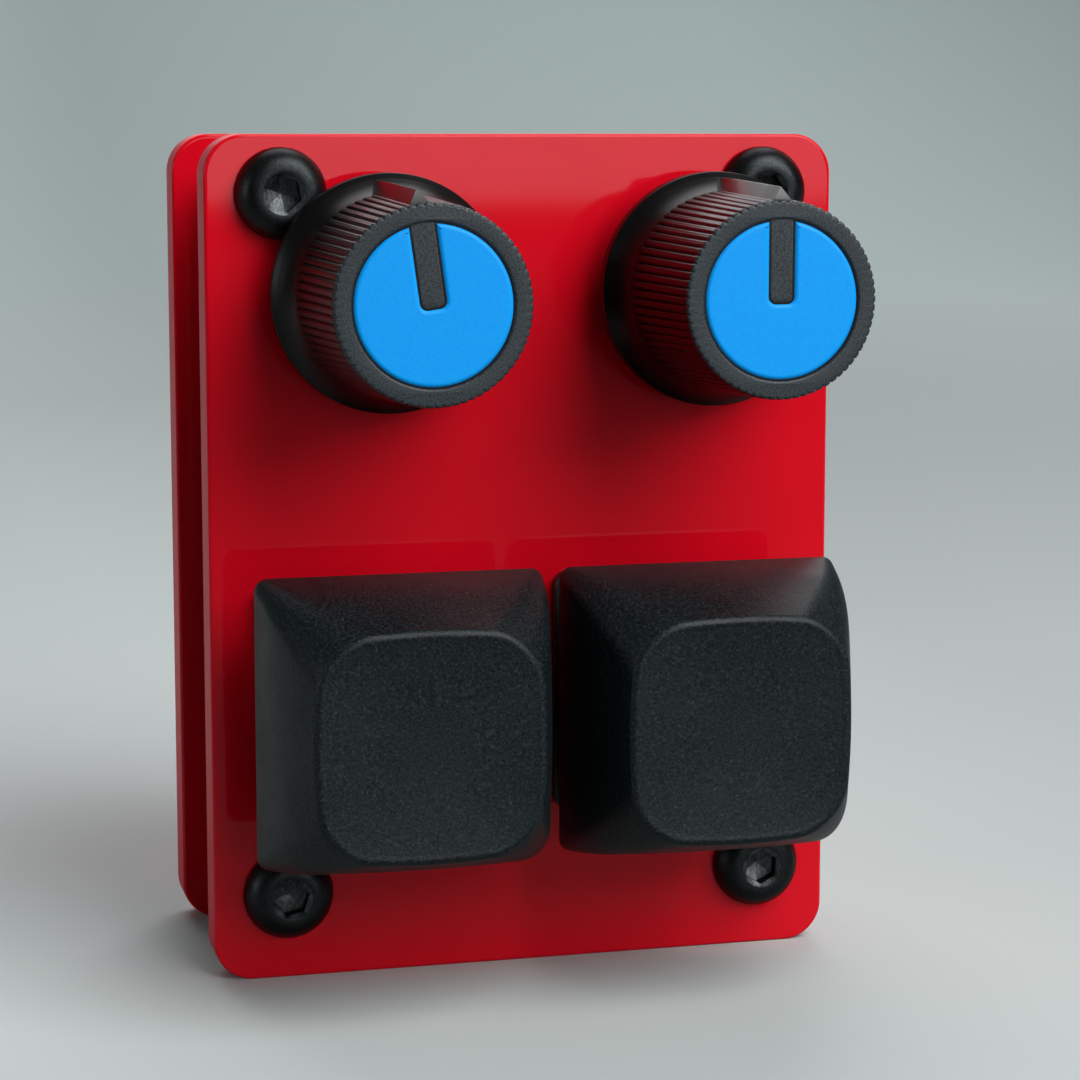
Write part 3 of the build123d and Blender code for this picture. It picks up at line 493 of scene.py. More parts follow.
def screw_form(x, z, seat, outward, turn):
    """A button-head screw and its hexagon socket, whose floor is the cone that the drill left."""
    lean = math.radians(CROWN_LEAN)
    crown = []
    for step in range(CROWN_STEPS + 1):
        angle = lean + (math.pi / 2 - lean) * (step / CROWN_STEPS)
        spread = (HEAD_RADIUS - HEAD_CROWN) * (math.cos(angle) / math.cos(lean))
        rise = (HEAD_HEIGHT - HEAD_RIM) * (math.sin(angle) - math.sin(lean)) / (1 - math.sin(lean))
        crown.append((HEAD_CROWN + spread, HEAD_RIM + rise))
    profile = [(CENTRE, -SHANK_LENGTH), (SHANK_RADIUS - SHANK_CHAMFER, -SHANK_LENGTH),
               (SHANK_RADIUS, SHANK_CHAMFER - SHANK_LENGTH), (SHANK_RADIUS, 0.0),
               (HEAD_SEAT, 0.0), (HEAD_RADIUS, HEAD_FOOT)]
    profile += crown + [(SOCKET_MOUTH, HEAD_HEIGHT),
                        (SOCKET_MOUTH - SOCKET_LIP, HEAD_HEIGHT - LIP_DROP)]
    angles = around(SCREW_STEPS, turn)
    head = [[(r, a, h) for a in angles] for r, h in profile]

    def hexagon(angle):
        phase = (angle - math.radians(turn)) % (math.pi / 3) - math.pi / 6
        return SOCKET_WIDTH / 2 / math.cos(phase)

    floor = HEAD_HEIGHT - SOCKET_DEPTH
    socket = [head[-1]]
    for scale, h in ((1.0, HEAD_HEIGHT - SOCKET_SINK), (1.0, floor),
                     (FLOOR_SCALE, floor - FLOOR_DROP)):
        socket.append([(hexagon(a) * scale, a, h) for a in angles])
    socket.append([(CENTRE, a, floor - SOCKET_CONE) for a in angles])
    forms = []
    for part, ends in ((head, (True, False)), (socket, (False, True))):
        rings = [[(x + r * math.cos(a), z + r * math.sin(a), seat + outward * h)
                  for r, a, h in ring] for ring in part]
        forms.append(skin(rings, ends))
    return forms


for where, seat, outward in (("front", 0, 1), ("rear", REAR_PANEL - PANEL_THICKNESS, -1)):
    heads, sockets = zip(*[screw_form(x, z, seat, outward, turn)
                           for (x, z), turn in zip(SCREW_PLACES, SCREW_TURNS[where])])
    make_piece(f"{where}_screws_blackened", heads, black_oxide, "case",
               (f"{where}_screws",), 30)
    # Paler steel in the sockets and round their mouths: partly wear, partly a painted highlight
    make_piece(f"{where}_screw_sockets", sockets, worn_steel_with_painted_highlight, "case", (), 30)
standoff = rounded([
    (STANDOFF_BORE, REAR_PANEL, 0), (STANDOFF_RADIUS - STANDOFF_CHAMFER, REAR_PANEL, 0),
    (STANDOFF_RADIUS, REAR_PANEL + STANDOFF_CHAMFER, STANDOFF_EDGE),
    (STANDOFF_RADIUS, -PANEL_THICKNESS - STANDOFF_CHAMFER, STANDOFF_EDGE),
    (STANDOFF_RADIUS - STANDOFF_CHAMFER, -PANEL_THICKNESS, 0),
    (STANDOFF_BORE, -PANEL_THICKNESS, 0)])
make_piece("standoffs_turned", [turned(standoff, x, z, 64, True) for x, z in SCREW_PLACES],
           turned_aluminium, "case", ("standoffs",))

# Knobs
KNOB_BACK, KNOB_FRONT = 1.95, 15.55
SKIRT_RADIUS, SKIRT_TOP, SKIRT_RECESS, RECESS_TOP, RECESS_EDGE = 7.4, 3.05, 6.1, 3.75, 0.05
SKIRT_BACK_EDGE, SKIRT_TOP_EDGE, SKIRT_RIM_IN, SKIRT_RIM_UP = 0.22, 0.2, 0.3, 0.26
SKIRT_MIDDLE = (2.6, 2.7)  # between the skirt's two rounded edges
SHOULDER_IN, SHOULDER_UP, SHOULDER_LEAN, SHOULDER_START = 0.12, 0.1, (0.12, -1), 0.32
CORE_RADIUS, CORE_TOP = 5.4, 0.3  # the end of the turned form, hidden in the grip
BORE_RADIUS, BORE_END = 3.02, 12.65
GRIP_START, GRIP_END, GRIP_BASE, GRIP_FRONT = 5.55, 15.38, 6.3, 5.92
FLUTES, FLUTE_DEPTH, FLUTE_STEPS, FLUTE_FADE = 72, 0.2, 12, 0.25
VALLEY_SHARE, VALLEY_POWER, RIDGE_SHARE = 0.86, 2.6, 0.14  # of a flute's depth
RUN_OUT = [(4.5, 0.1, 0.57), (4.75, 0.35, 0.22), (5.1, 0.8, 0.05)]  # height, share of depth, drop
FLUTE_FULL, GRIP_STEPS, GRIP_TOP_UP, GRIP_TOP_IN = 0.05, 10, 0.02, 0.06
RIB_HALF, RIB_ROOT, RIB_HEIGHT, RIB_FACET, RIB_TIP = 0.85, 0.44, 0.74, 0.3, 0.05
RIB_BACK, RIB_MIDDLE, RIB_PEAK, RIB_FALL = 3.1, 8.0, 0.78, 1.22
CREST_OUT, CREST_IN, CREST_DROP = 0.03, 0.015, 0.045  # the rib's crest is just broken
RING_BACK, RING_EDGE, RING_GAP, RING_INSET, RING_FLUTE = 14.2, 0.15, 0.06, 0.02, 0.5
RING_FLOOR_BACK, RING_FLOOR_RADIUS = 14.0, 5.3
INSERT_RADIUS, INSERT_THICKNESS, INSERT_EDGE, INSERT_RIM, INSERT_SINK = 4.72, 1.2, 0.26, 0.05, 0.02
BAR_WIDTH, BAR_END, BAR_CORNER, BAR_SINK, BAR_EDGE = 1.42, -0.15, 0.35, 0.14, 0.08
BAR_OVERRUN, SLOT_TOP = 0.3, 4.0


def grip_radius(height):
    """The radius over the ridges of the grip at a height."""
    return GRIP_BASE + (GRIP_FRONT - GRIP_BASE) * (height - GRIP_START) / (GRIP_END - GRIP_START)


def shoulder_arc(steps=14):
    """The hollow curve from the foot of the grip out to the skirt."""
    foot = Vector((GRIP_BASE - FLUTE_DEPTH, GRIP_START))
    end = Vector((SKIRT_RADIUS - SHOULDER_IN, SKIRT_TOP + SHOULDER_UP))
    lean = Vector(SHOULDER_LEAN).normalized()
    side = Vector((-lean.y, lean.x))
    span = end - foot
    radius = span.length_squared / (2 * span.dot(side))
    return arc_between(foot + side * radius, foot, end, steps)


def fluted_outline(x, turn, radius, depth):
    """One outline of the grip: broad rounded ridges with narrow valleys between them."""
    outline = []
    for i, angle in enumerate(around(FLUTES * FLUTE_STEPS, turn)):
        phase = abs((i % FLUTE_STEPS) / FLUTE_STEPS - 0.5) * 2
        valley, ridge = (1 - phase) ** VALLEY_POWER, (2 * phase - 1) ** 2
        reach = radius - depth * (VALLEY_SHARE * valley + RIDGE_SHARE * ridge)
        outline.append((x + reach * math.cos(angle), KNOB_Z + reach * math.sin(angle)))
    return outline


def fluted_grip(x, turn):
    """The grip: ridges that run out into the shoulder, and on to the end face's rounded edge."""
    full = GRIP_START + FLUTE_FULL
    levels = RUN_OUT + [(full + (GRIP_END - full) * i / GRIP_STEPS, 1.0, 0.0)
                        for i in range(GRIP_STEPS + 1)]
    levels.append((GRIP_END + GRIP_TOP_UP, 1.0, GRIP_TOP_IN))
    rings = []
    for height, cut, drop in levels:
        radius = grip_radius(max(height, GRIP_START)) - drop
        along = max(0.0, (height - GRIP_START) / (GRIP_END - GRIP_START))
        outline = fluted_outline(x, turn, radius, FLUTE_DEPTH * cut * (1 - FLUTE_FADE * along))
        rings.append([(px, pz, height) for px, pz in outline])
    return skin(rings)


def turned_points(x, turn, points):
    """Points in a knob's own frame, across, up and height, turned with it and put in place."""
    c, s = math.cos(math.radians(turn)), math.sin(math.radians(turn))
    return [(x + px * c - pz * s, KNOB_Z + px * s + pz * c, h) for px, pz, h in points]


def pointer_rib(x, turn):
    """The pointer: a sharp rib along the top of the grip, cut at its front by a sloping facet."""
    rings = []
    for height, cut in ((RIB_BACK, RIB_HEIGHT), (RIB_MIDDLE, RIB_HEIGHT),
                        (GRIP_END - RIB_FACET, RIB_HEIGHT), (GRIP_END, RIB_TIP)):
        radius = grip_radius(max(height, GRIP_START))
        foot, top = radius - RIB_ROOT, radius + cut
        half = RIB_HALF * (radius + RIB_PEAK - top) / RIB_FALL
        ring = [(-RIB_HALF, foot), (RIB_HALF, foot), (half + CREST_OUT, top - CREST_DROP),
                (half - CREST_IN, top), (CREST_IN - half, top),
                (-half - CREST_OUT, top - CREST_DROP)]
        rings.append(turned_points(x, turn, [(px, pz, height) for px, pz in ring]))
    return skin(rings)


def bar_outline(margin, low, high):
    """The indicator bar's outline, with its two lower corners rounded."""
    half, corner = BAR_WIDTH / 2 + margin, BAR_CORNER + margin
    points = [(half, high), (-half, high)]
    for cx, first in ((-half + corner, 180), (half - corner, 270)):
        for a in range(0, 91, 15):
            angle = math.radians(first + a)
            points.append((cx + corner * math.cos(angle),
                           low - margin + corner + corner * math.sin(angle)))
    return points


def make_knob(side, x, turn):
    """One pointer knob in its three black finishes, and its blue insert."""
    body, seat = f"{side}_dial", KNOB_FRONT - INSERT_THICKNESS
    skirt = [(CENTRE, BORE_END), (BORE_RADIUS, BORE_END), (BORE_RADIUS, RECESS_TOP),
             (SKIRT_RECESS, RECESS_TOP), (SKIRT_RECESS, KNOB_BACK + RECESS_EDGE),
             (SKIRT_RECESS + RECESS_EDGE, KNOB_BACK)]
    skirt += rounded([(SKIRT_RECESS + 2 * RECESS_EDGE, KNOB_BACK, 0),
                      (SKIRT_RADIUS, KNOB_BACK, SKIRT_BACK_EDGE),
                      (SKIRT_RADIUS, SKIRT_MIDDLE[0], 0)])
    skirt += rounded([(SKIRT_RADIUS, SKIRT_MIDDLE[1], 0),
                      (SKIRT_RADIUS, SKIRT_TOP, SKIRT_TOP_EDGE),
                      (SKIRT_RADIUS - SKIRT_RIM_IN, SKIRT_TOP + SKIRT_RIM_UP, 0)])
    skirt += [point for point in reversed(shoulder_arc())
              if point[0] < SKIRT_RADIUS - SHOULDER_START]
    skirt += [(CORE_RADIUS, GRIP_START + CORE_TOP), (CENTRE, GRIP_START + CORE_TOP)]
    make_piece(f"{side}_knob_grip", [turned(skirt, x, KNOB_Z, 160), fluted_grip(x, turn)],
               flute_abs, body, (f"{side}_knob",), 30)
    make_piece(f"{side}_knob_pointer", [pointer_rib(x, turn)], rib_abs, body, (), 30)

    floor = turned([(CENTRE, RING_FLOOR_BACK), (RING_FLOOR_RADIUS, RING_FLOOR_BACK),
                    (RING_FLOOR_RADIUS, seat), (CENTRE, seat)], x, KNOB_Z)
    ring = plate(fluted_outline(x, turn, GRIP_FRONT - RING_INSET, FLUTE_DEPTH * RING_FLUTE),
                 [ring_outline(x, KNOB_Z, INSERT_RADIUS + RING_GAP, 180)], RING_BACK, KNOB_FRONT,
                 RING_EDGE, 6)
    bar_points, bar_faces = plate(bar_outline(0, BAR_END, INSERT_RADIUS + BAR_OVERRUN), [],
                                  RING_BACK, KNOB_FRONT - BAR_SINK, BAR_EDGE)
    bar = turned_points(x, turn, bar_points), bar_faces
    make_piece(f"{side}_knob_ring", [floor, ring, bar], knob_abs, body, (), 50)

    first = math.degrees(math.acos((BAR_WIDTH / 2 + RING_GAP) / INSERT_RADIUS))
    angles = [math.radians(180 - first + (180 + 2 * first) * i / 120) for i in range(121)]
    edge = [(INSERT_RADIUS * math.cos(a), INSERT_RADIUS * math.sin(a)) for a in angles]
    slot = bar_outline(RING_GAP, BAR_END, SLOT_TOP)[2:]
    disc_points, disc_faces = plate(edge + slot[::-1], [], seat, KNOB_FRONT - INSERT_SINK,
                                    INSERT_EDGE, 6, INSERT_RIM)
    make_piece(f"{side}_insert_disc", [(turned_points(x, turn, disc_points), disc_faces)],
               insert_abs, body, (f"{side}_knob_insert",), 30)


for side, (x, turn) in KNOBS.items():
    make_knob(side, x, turn)

# Keycaps
CAP_RIM, CAP_HEIGHT, CAP_RIM_WIDTH, CAP_TOP_WIDTH = 6.25, 9.1, 18.05, 13.8
CAP_BULGE, CAP_BOW, CAP_EDGE, CAP_DISH = 0.9, 0.45, 0.4, 0.4
CAP_CORNER, CORNER_GROWTH, CAP_TOP_CORNER, EDGE_LEAN = 0.8, 2.35, 3.2, 0.3
CAP_WALL, CAP_HOLLOW, HOLLOW_CORNER, HOLLOW_GROWTH, HOLLOW_BOW = 1.3, 7.6, 0.5, 2.2, 0.3
RIM_RINGS = ((0.0, 2.4, 0.5), (0.0, 0.3, 0.7), (0.05, 0.08, 0.78))  # lift, narrowing, corner
WALL_STEPS, WALL_START, EDGE_STEPS, DISH_START = 14, 0.015, 6, 0.02
DISH_SCALES = (0.985, 0.95, 0.9, 0.8, 0.65, 0.5, 0.35, 0.2, 0.08)
POST_RADIUS, POST_BACK, POST_FRONT, POST_EDGE = 2.75, 6.6, 14.2, 0.15


def cap_width(share):
    """A keycap's width at a share of its height: drawn in to the top, and bulged between."""
    straight = CAP_RIM_WIDTH + (CAP_TOP_WIDTH - CAP_RIM_WIDTH) * share
    return straight + CAP_BULGE * math.sin(math.pi * share)


def cap_ring(x, height, width, corner, bow, scale=1.0):
    """One outline of a keycap: a rounded square, whose bowed sides are drawn in at its corners."""
    half = width / 2
    ring = []
    for px, pz in box_outline(0, 0, width, width, corner, 12, 14):
        sx, sz = px / half, pz / half
        ring.append((x + px * (1 - bow / half * sz * sz) * scale,
                     KEY_Z + pz * (1 - bow / half * sx * sx) * scale, height))
    return ring


def keycap_forms(x):
    """The hollow cap with bulged walls and a dished top, and the round post inside it."""
    rings = []
    for share in (1.0, 0.75, 0.5, 0.25, 0.0):
        height = CAP_RIM + CAP_HOLLOW * share
        rise = (height - CAP_RIM) / CAP_HEIGHT
        rings.append(cap_ring(x, height, cap_width(rise) - 2 * CAP_WALL,
                              HOLLOW_CORNER + HOLLOW_GROWTH * rise, HOLLOW_BOW * rise))
    for lift, narrower, corner in RIM_RINGS:
        rings.append(cap_ring(x, CAP_RIM + lift, CAP_RIM_WIDTH - narrower, corner, 0.0))
    brow = 1 - CAP_EDGE / CAP_HEIGHT
    for i in range(WALL_STEPS + 1):
        share = WALL_START + (1 - WALL_START) * i / WALL_STEPS * brow
        rings.append(cap_ring(x, CAP_RIM + CAP_HEIGHT * share, cap_width(share),
                              CAP_CORNER + CORNER_GROWTH * share, CAP_BOW * share))
    for i in range(1, EDGE_STEPS + 1):
        angle = math.pi / 2 * i / EDGE_STEPS
        height = CAP_RIM + CAP_HEIGHT - CAP_EDGE * (1 - math.sin(angle))
        inset = 2 * CAP_EDGE * (1 - math.cos(angle)) + EDGE_LEAN * math.sin(angle) * CAP_EDGE
        rings.append(cap_ring(x, height, cap_width(brow) - inset, CAP_TOP_CORNER - inset / 2,
                              CAP_BOW))
    last = cap_width(brow) - 2 * CAP_EDGE - EDGE_LEAN * CAP_EDGE
    for scale in DISH_SCALES:
        sink = CAP_DISH * (1 - scale ** 2) + DISH_START
        rings.append(cap_ring(x, CAP_RIM + CAP_HEIGHT - sink, last, CAP_TOP_CORNER - CAP_EDGE,
                              CAP_BOW, scale))
    post = rounded([(CENTRE, POST_BACK, 0), (POST_RADIUS, POST_BACK, POST_EDGE),
                    (POST_RADIUS, POST_FRONT, 0), (CENTRE, POST_FRONT, 0)])
    return [skin(rings), turned(post, x, KEY_Z, 48)]


for side, x in KEYS.items():
    make_piece(f"{side}_keycap_grained", keycap_forms(x), keycap_pbt, f"{side}_key",
               (f"{side}_keycap",), 40)

# Inner pieces, with the edges that their making leaves
for side in KEYS:
    softened(f"{side}_switch_base", nylon, "case", 0.15)
    softened(f"{side}_switch_cover", nylon, "case", 0.2)
    softened(f"{side}_switch_stem", acetal, f"{side}_key", 0.1)
    softened(f"{side}_pot_cover", zinc_steel, "case", 0.12)
    softened(f"{side}_pot_base", phenolic, "case", 0.12)
    softened(f"{side}_pot_shaft", turned_aluminium, f"{side}_dial", 0.1)
for node, finish, slot_name in (
    ("board_header", nylon, "header_nylon"), ("socket_shell", socket_steel, "socket_steel"),
    ("socket_tongue", nylon, "tongue_plastic"), ("chip_body", epoxy, "chip_epoxy"),
    ("crystal", tin, "tinned_lead"), ("regulator", epoxy, "chip_epoxy"),
    ("chip_passives", ceramic, "ceramic_passive"), ("header_pins", brass, "contact_brass"),
    ("switch_board", board, "board_laminate"), ("control_board", board, "board_laminate"),
):
    softened(node, finish, "case", 0.05)
for side in KEYS:
    for node, finish in (("pot_track", carbon), ("pot_terminals", brass), ("pot_wiper", brass),
                         ("switch_contacts", brass)):
        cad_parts[f"{side}_{node}"].data.materials.clear()
        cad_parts[f"{side}_{node}"].data.materials.append(finish)

# The springs inside the switches, each in spring steel with a mesh of its own
for side in KEYS:
    node = f"{side}_switch_spring"
    coil = bpy.data.objects.new(f"{side}_spring_coiled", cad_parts[node].data.copy())
    spring = dress(coil, spring_steel, "case", (node,), 60)
    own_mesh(spring)

# Chip leads, solder joints and copper tracks on the boards
CONTROL_BACK, SWITCH_FRONT, SWITCH_BACK = -10.8, -5.0, -6.6
HEADER_Z, HEADER_PITCH, HEADER_REACH, CHIP_Z, LEAD_PITCH = 27.4, 2.54, 0.8, 34.6, 0.7
POT_PINS = [(step * 2.5, -5.4) for step in (-1, 0, 1)]
POT_LUGS = [(way * 4.725, 0.0) for way in (-1, 1)]
KEY_PINS = [(-3.81, 2.54), (2.54, 5.08)]
LEAD_BENDS = [(3.45, 0.62, 0), (3.72, 0.62, 0), (3.8, 0.56, 1), (3.95, 0.16, 1), (4.03, 0.07, 0),
              (4.4, 0.07, 0)]  # reach, height and whether the lead slopes there
LEAD_HALF_WIDTH, LEAD_HALF_THICKNESS, SLOPE_SHIFT = 0.15, 0.06, 0.05
PIN_REACH, JOINT_TIP = 0.62, 0.06
JOINT_FOOT = [(0.02, -0.02), (0.8, -0.02), (0.8, 0.02), (0.66, 0.05), (0.54, 0.13),
              (0.46, 0.26)]  # radius and height
TRACK_WIDTH, PART_TRACK_WIDTH, TRACK_RISE = 0.28, 0.36, 0.04
KEY_TRACK_BEND, KEY_TRACK_JOIN, KEY_TRACK_STEP = 23.6, 25.6, 0.4
POT_TRACK_ENDS, POT_TRACK_STEP, POT_TRACK_FALL, POT_FALL_STEP = (-4.0, 2.6), 0.35, 1.6, 0.5
PART_TRACKS = [
    (7.6, 30.2, 3.2, 32.6), (-14.6, 34.0, -4.2, 34.0), (-10.2, 29.6, -2.6, 31.8),
    (13.4, 30.8, 8.4, 30.8), (15.7, 33.0, 15.7, 36.6), (-14.6, 30.8, -14.6, 33.0),
    (-4.6, 40.4, -4.6, 37.4), (-3.2, 43.4, -1.4, 38.6), (5.5, 43.4, 1.6, 38.6)]


def chip_lead(side, place):
    """One gull-wing lead of the cornerwise chip: out of its side, down to the board, and flat."""
    out = math.radians(45 + 90 * side)
    across = Vector((-math.sin(out), math.cos(out)))
    along = Vector((math.cos(out), math.sin(out)))
    rings = []
    for reach, height, tilt in LEAD_BENDS:
        ring = []
        for way, thick in ((-1, -1), (1, -1), (1, 1), (-1, 1)):
            spot = along * (reach + SLOPE_SHIFT * thick * tilt)
            spot += across * (place + way * LEAD_HALF_WIDTH)
            ring.append((spot.x, CHIP_Z + spot.y,
                         CONTROL_BACK - height - LEAD_HALF_THICKNESS * thick))
        rings.append(ring)
    return skin(rings)


def track(corners, height, width=TRACK_WIDTH):
    """A copper track through its corners on the rear of a board, under the solder mask."""
    left, right = [], []
    for i, corner in enumerate(corners):
        here = Vector(corner)
        before = (here - Vector(corners[i - 1])).normalized() if i else None
        after = (Vector(corners[i + 1]) - here).normalized() if i < len(corners) - 1 else None
        first, second = before or after, after or before
        normal = Vector((-first.y - second.y, first.x + second.x)) / (1 + first.dot(second))
        left.append(here + normal * width / 2)
        right.append(here - normal * width / 2)
    return skin([[(a.x, a.y, height), (b.x, b.y, height), (b.x, b.y, height - TRACK_RISE),
                  (a.x, a.y, height - TRACK_RISE)] for a, b in zip(left, right)])


def solder_joint(x, z, height, outward, reach=PIN_REACH):
    """A small hollow cone of solder that has run up a pin."""
    profile = JOINT_FOOT + [(0.41, reach * 0.75), (0.3, reach), (0.02, reach + JOINT_TIP)]
    return turned([(r, height + outward * h) for r, h in profile], x, z, 20)


leads = [chip_lead(side, (place - 3.5) * LEAD_PITCH) for side in range(4) for place in range(8)]
make_piece("chip_gull_leads", leads, tin, "case", ("chip_leads",), 50)
header_x = [(pin - 2) * HEADER_PITCH for pin in range(5)]
pot_pins = [(x + px, KNOB_Z + pz) for x, _ in KNOBS.values() for px, pz in POT_PINS]
lug_pins = [(x + px, KNOB_Z + pz) for x, _ in KNOBS.values() for px, pz in POT_LUGS]
key_pins = [(x + px, KEY_Z + pz) for x in KEYS.values() for px, pz in KEY_PINS]
joints = [solder_joint(x, z, CONTROL_BACK, -1) for x, z in pot_pins + lug_pins]
joints += [solder_joint(x, HEADER_Z, CONTROL_BACK, -1, HEADER_REACH) for x in header_x]
joints += [solder_joint(x, HEADER_Z, SWITCH_FRONT, 1, HEADER_REACH) for x in header_x]
joints += [solder_joint(x, z, SWITCH_BACK, -1) for x, z in key_pins]
make_piece("solder_joints", joints, tin, "case", (), 40)
tracks = []
for i, (x, z) in enumerate(key_pins):
    end = header_x[i]
    tracks.append(track([(x, z), (x, KEY_TRACK_BEND + KEY_TRACK_STEP * i),
                         (end, KEY_TRACK_JOIN + KEY_TRACK_STEP * i), (end, HEADER_Z)],
                        SWITCH_BACK))
for i, (x, z) in enumerate(pot_pins):
    end = POT_TRACK_ENDS[x > 0] + POT_TRACK_STEP * i
    tracks.append(track([(x, z), (x, z - POT_TRACK_FALL - POT_FALL_STEP * (i % 3)),
                         (end, CHIP_Z + 1.2 - abs(end) * 0.2)], CONTROL_BACK))
for x in header_x:
    tracks.append(track([(x, HEADER_Z), (x, HEADER_Z + 1.3),
                         (x * 0.42, CHIP_Z - 4.4 + abs(x) * 0.3)], CONTROL_BACK))
for x, z, end_x, end_z in PART_TRACKS:
    bend = [((x + end_x) / 2, z)] if abs(x - end_x) > 1 else []
    tracks.append(track([(x, z), *bend, (end_x, end_z)], CONTROL_BACK, PART_TRACK_WIDTH))
make_piece("board_tracks", tracks, masked_copper, "case", (), 50)


# Floor, backdrop, light and camera, in metres
STAGE_FRONT, STAGE_BEND, STAGE_RADIUS, STAGE_TOP, STAGE_SIDE = -2.4, 0.7, 0.5, 1.8, 2.4
STAGE_STEPS = 16


def stage_finish():
    """Coated paper: smooth, pale and matt, with painted light and shade on it.

    It has painted shade in front, so that it doesn't haze the red face, on the right, and far
    behind on the left, and its far part and wall are painted paler where the lamps fall off. Only
    the camera and clear materials see these tones; the object gets dimmer ones, painted shade in
    what it mirrors and what it gets back as light. Far from it the camera sees a faint painted
    glow, which lights nothing.
    """
    material, tree, shader, place = finish_of(
        "pale_grey_paper", Specular_IOR_Level=0.2, Roughness=0.8, Emission_Color=linear("#c9d0cf"))
    x = add(tree, "ShaderNodeSeparateXYZ", None, {"Vector": place}, "X")
    y = add(tree, "ShaderNodeSeparateXYZ", None, {"Vector": place}, "Y")
    depth = add(tree, "ShaderNodeMapRange", {"From Min": -0.4, "From Max": 1.2}, {"Value": y})
    # The camera's tones: painted shade in front, painted light on the far floor and the wall
    pale = add(tree, "ShaderNodeValToRGB",
               {"stops": [(0.0, "#838989"), (0.1, "#9aa0a0"), (0.14, "#a8aeae"),
                          (0.21, "#cdd4d3"), (0.26, "#cbd2d1"), (0.5, "#d9e2e1"),
                          (1.0, "#cadddb")]}, {"Fac": depth})
    # What the object mirrors and gets back as light: painted shade, darkest in front
    dim_paper_painted_shade = add(tree, "ShaderNodeValToRGB",
              {"stops": [(0.0, "#282c2d"), (0.14, "#444949"), (0.22, "#767b7b"),
                         (0.3, "#aeb5b4"), (1.0, "#b8c0bf")]}, {"Fac": depth})
    # Painted shade on the right of the floor, and far behind on the left
    right = add(tree, "ShaderNodeMapRange", {"From Min": -0.01, "From Max": 0.07}, {"Value": x})
    left = add(tree, "ShaderNodeMapRange",
               {"From Min": 0.05, "From Max": 0.34, "To Min": 1.0, "To Max": 0.0}, {"Value": x})
    behind = add(tree, "ShaderNodeMapRange", {"From Min": 0.1, "From Max": 0.4}, {"Value": y})
    behind_left_painted_shade = add(tree, "ShaderNodeMath", {"operation": "MULTIPLY"}, {0: left, 1: behind})
    shaded = pale
    for share, tone in ((right, "#e8e8e8"), (behind_left_painted_shade, "#dfdfdf")):
        shaded = add(tree, "ShaderNodeMix",
                     {"data_type": "RGBA", "blend_type": "MULTIPLY", 7: linear(tone)},
                     {0: share, 6: shaded}, 2)
    camera_ray = add(tree, "ShaderNodeLightPath", out="Is Camera Ray")
    clear_ray = add(tree, "ShaderNodeLightPath", out="Is Transmission Ray")
    seen = add(tree, "ShaderNodeMath", {"operation": "MAXIMUM"}, {0: camera_ray, 1: clear_ray})
    colour = add(tree, "ShaderNodeMix", {"data_type": "RGBA"}, {0: seen, 6: dim_paper_painted_shade, 7: shaded}, 2)
    aside = add(tree, "ShaderNodeMath", {"operation": "ABSOLUTE"}, {0: x})
    ahead = add(tree, "ShaderNodeMath", {"operation": "SUBTRACT", 0: 0.3}, {1: y})
    away = add(tree, "ShaderNodeMath", {"operation": "MAXIMUM"}, {0: aside, 1: ahead})
    # A painted glow far off, seen by the camera only
    far = add(tree, "ShaderNodeMapRange",
              {"From Min": 0.72, "From Max": 1.9, "To Min": 0.0, "To Max": 0.42}, {"Value": away})
    glow = add(tree, "ShaderNodeMath", {"operation": "MULTIPLY"}, {0: far, 1: seen})
    wire(tree, shader, {"Base Color": colour, "Emission Strength": glow})
    return material


def make_stage():
    """A floor that curves up into a backdrop behind the controller."""
    angles = [math.pi / 2 * i / STAGE_STEPS for i in range(1, STAGE_STEPS + 1)]
    profile = [(STAGE_FRONT, 0.0), (STAGE_BEND, 0.0)]
    profile += [(STAGE_BEND + STAGE_RADIUS * math.sin(a), STAGE_RADIUS - STAGE_RADIUS * math.cos(a))
                for a in angles]
    profile.append((STAGE_BEND + STAGE_RADIUS, STAGE_TOP))
    mesh = bpy.data.meshes.new("stage")
    mesh.from_pydata([(x, y, z) for y, z in profile for x in (-STAGE_SIDE, STAGE_SIDE)], [],
                     [(2 * i, 2 * i + 1, 2 * i + 3, 2 * i + 2) for i in range(len(profile) - 1)])
    mesh.shade_smooth()
    mesh.materials.append(stage_finish())
    made = bpy.data.objects.new("stage", mesh)
    scene.collection.objects.link(made)


def soft_light(name, place, target, size, power, colour):
    """A rectangular soft light that faces a target."""
    lamp = bpy.data.lights.new(name, "AREA")
    lamp.shape = "RECTANGLE"
    lamp.size, lamp.size_y = size
    lamp.energy = power
    lamp.color = linear(colour)[:3]
    made = bpy.data.objects.new(name, lamp)
    made.location = place
    made.rotation_euler = (Vector(target) - Vector(place)).to_track_quat("-Z", "Y").to_euler()
    scene.collection.objects.link(made)


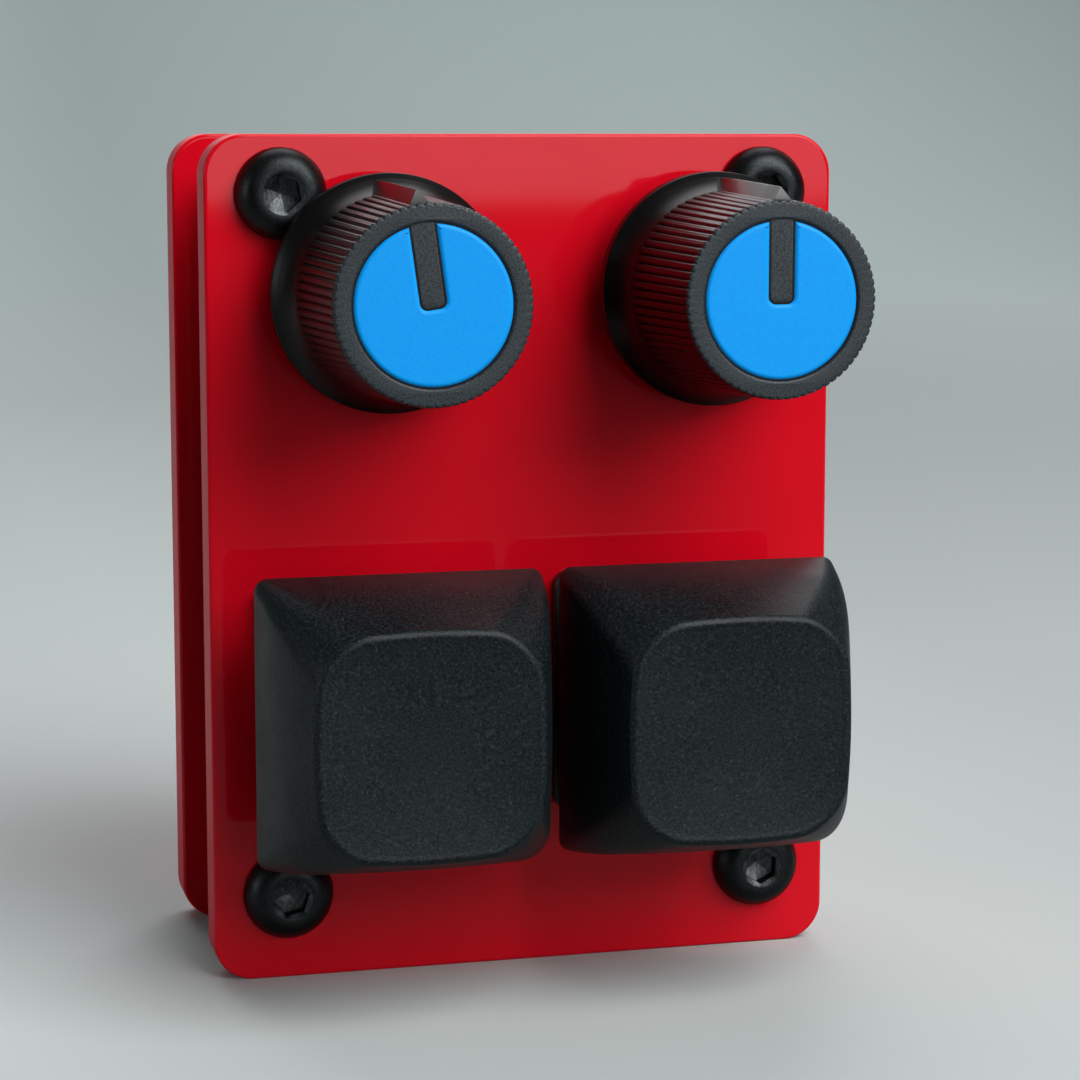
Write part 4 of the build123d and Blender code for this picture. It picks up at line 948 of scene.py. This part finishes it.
def soft_room():
    """A pale room all round, brighter to the camera than as a light."""
    world = bpy.data.worlds.new("soft_room")
    world.use_nodes = True
    tree = world.node_tree
    sky = tree.nodes["Background"]
    sky.inputs["Color"].default_value = linear("#dfe4e6")
    camera_ray = add(tree, "ShaderNodeLightPath", out="Is Camera Ray")
    strength = add(tree, "ShaderNodeMapRange", {"To Min": 0.1, "To Max": 0.5},
                   {"Value": camera_ray})
    wire(tree, sky, {"Strength": strength})
    return world


make_stage()
scene.world = soft_room()
soft_light("upper_softbox", (0.183, -0.292, 0.319), (0, 0, 0.03), (0.34, 0.42), 2.46, "#ffffff")
soft_light("front_window", (0.32, -1.15, 0.14), (0.1, -0.2, 0.14), (0.6, 0.24), 1.1, "#f6f9ff")
soft_light("left_window", (-0.9, -0.12, 0.2), (0, 0, 0.03), (0.3, 0.3), 0.7, "#f6fbff")
soft_light("rear_window", (0.12, 0.8, 0.8), (0, 0, 0.02), (0.9, 0.9), 6.4, "#fdfdff")

# The photograph's viewpoint, fitted to the edges of the panels and the keys
CAMERA_AZIMUTH, CAMERA_ELEVATION, CAMERA_DISTANCE = -14.64, 7.37, 0.18131
SENSOR_WIDTH, FOCAL_LENGTH, LENS_SHIFT, NEAREST = 36, 94.59, -0.038, 0.01
CAMERA_AIM = Vector((0.94 * MM, FRONT_Y * MM, 30.2 * MM))
azimuth, elevation = math.radians(CAMERA_AZIMUTH), math.radians(CAMERA_ELEVATION)
back = Vector((math.sin(azimuth) * math.cos(elevation), -math.cos(azimuth) * math.cos(elevation),
               math.sin(elevation)))
lens = bpy.data.cameras.new("camera")
lens.sensor_width = SENSOR_WIDTH
lens.lens = FOCAL_LENGTH
lens.shift_y = LENS_SHIFT
lens.clip_start = NEAREST
camera = bpy.data.objects.new("camera", lens)
camera.location = CAMERA_AIM + back * CAMERA_DISTANCE
camera.rotation_euler = (-back).to_track_quat("-Z", "Y").to_euler()
scene.collection.objects.link(camera)
scene.camera = camera
scene.view_settings.view_transform = "Standard"
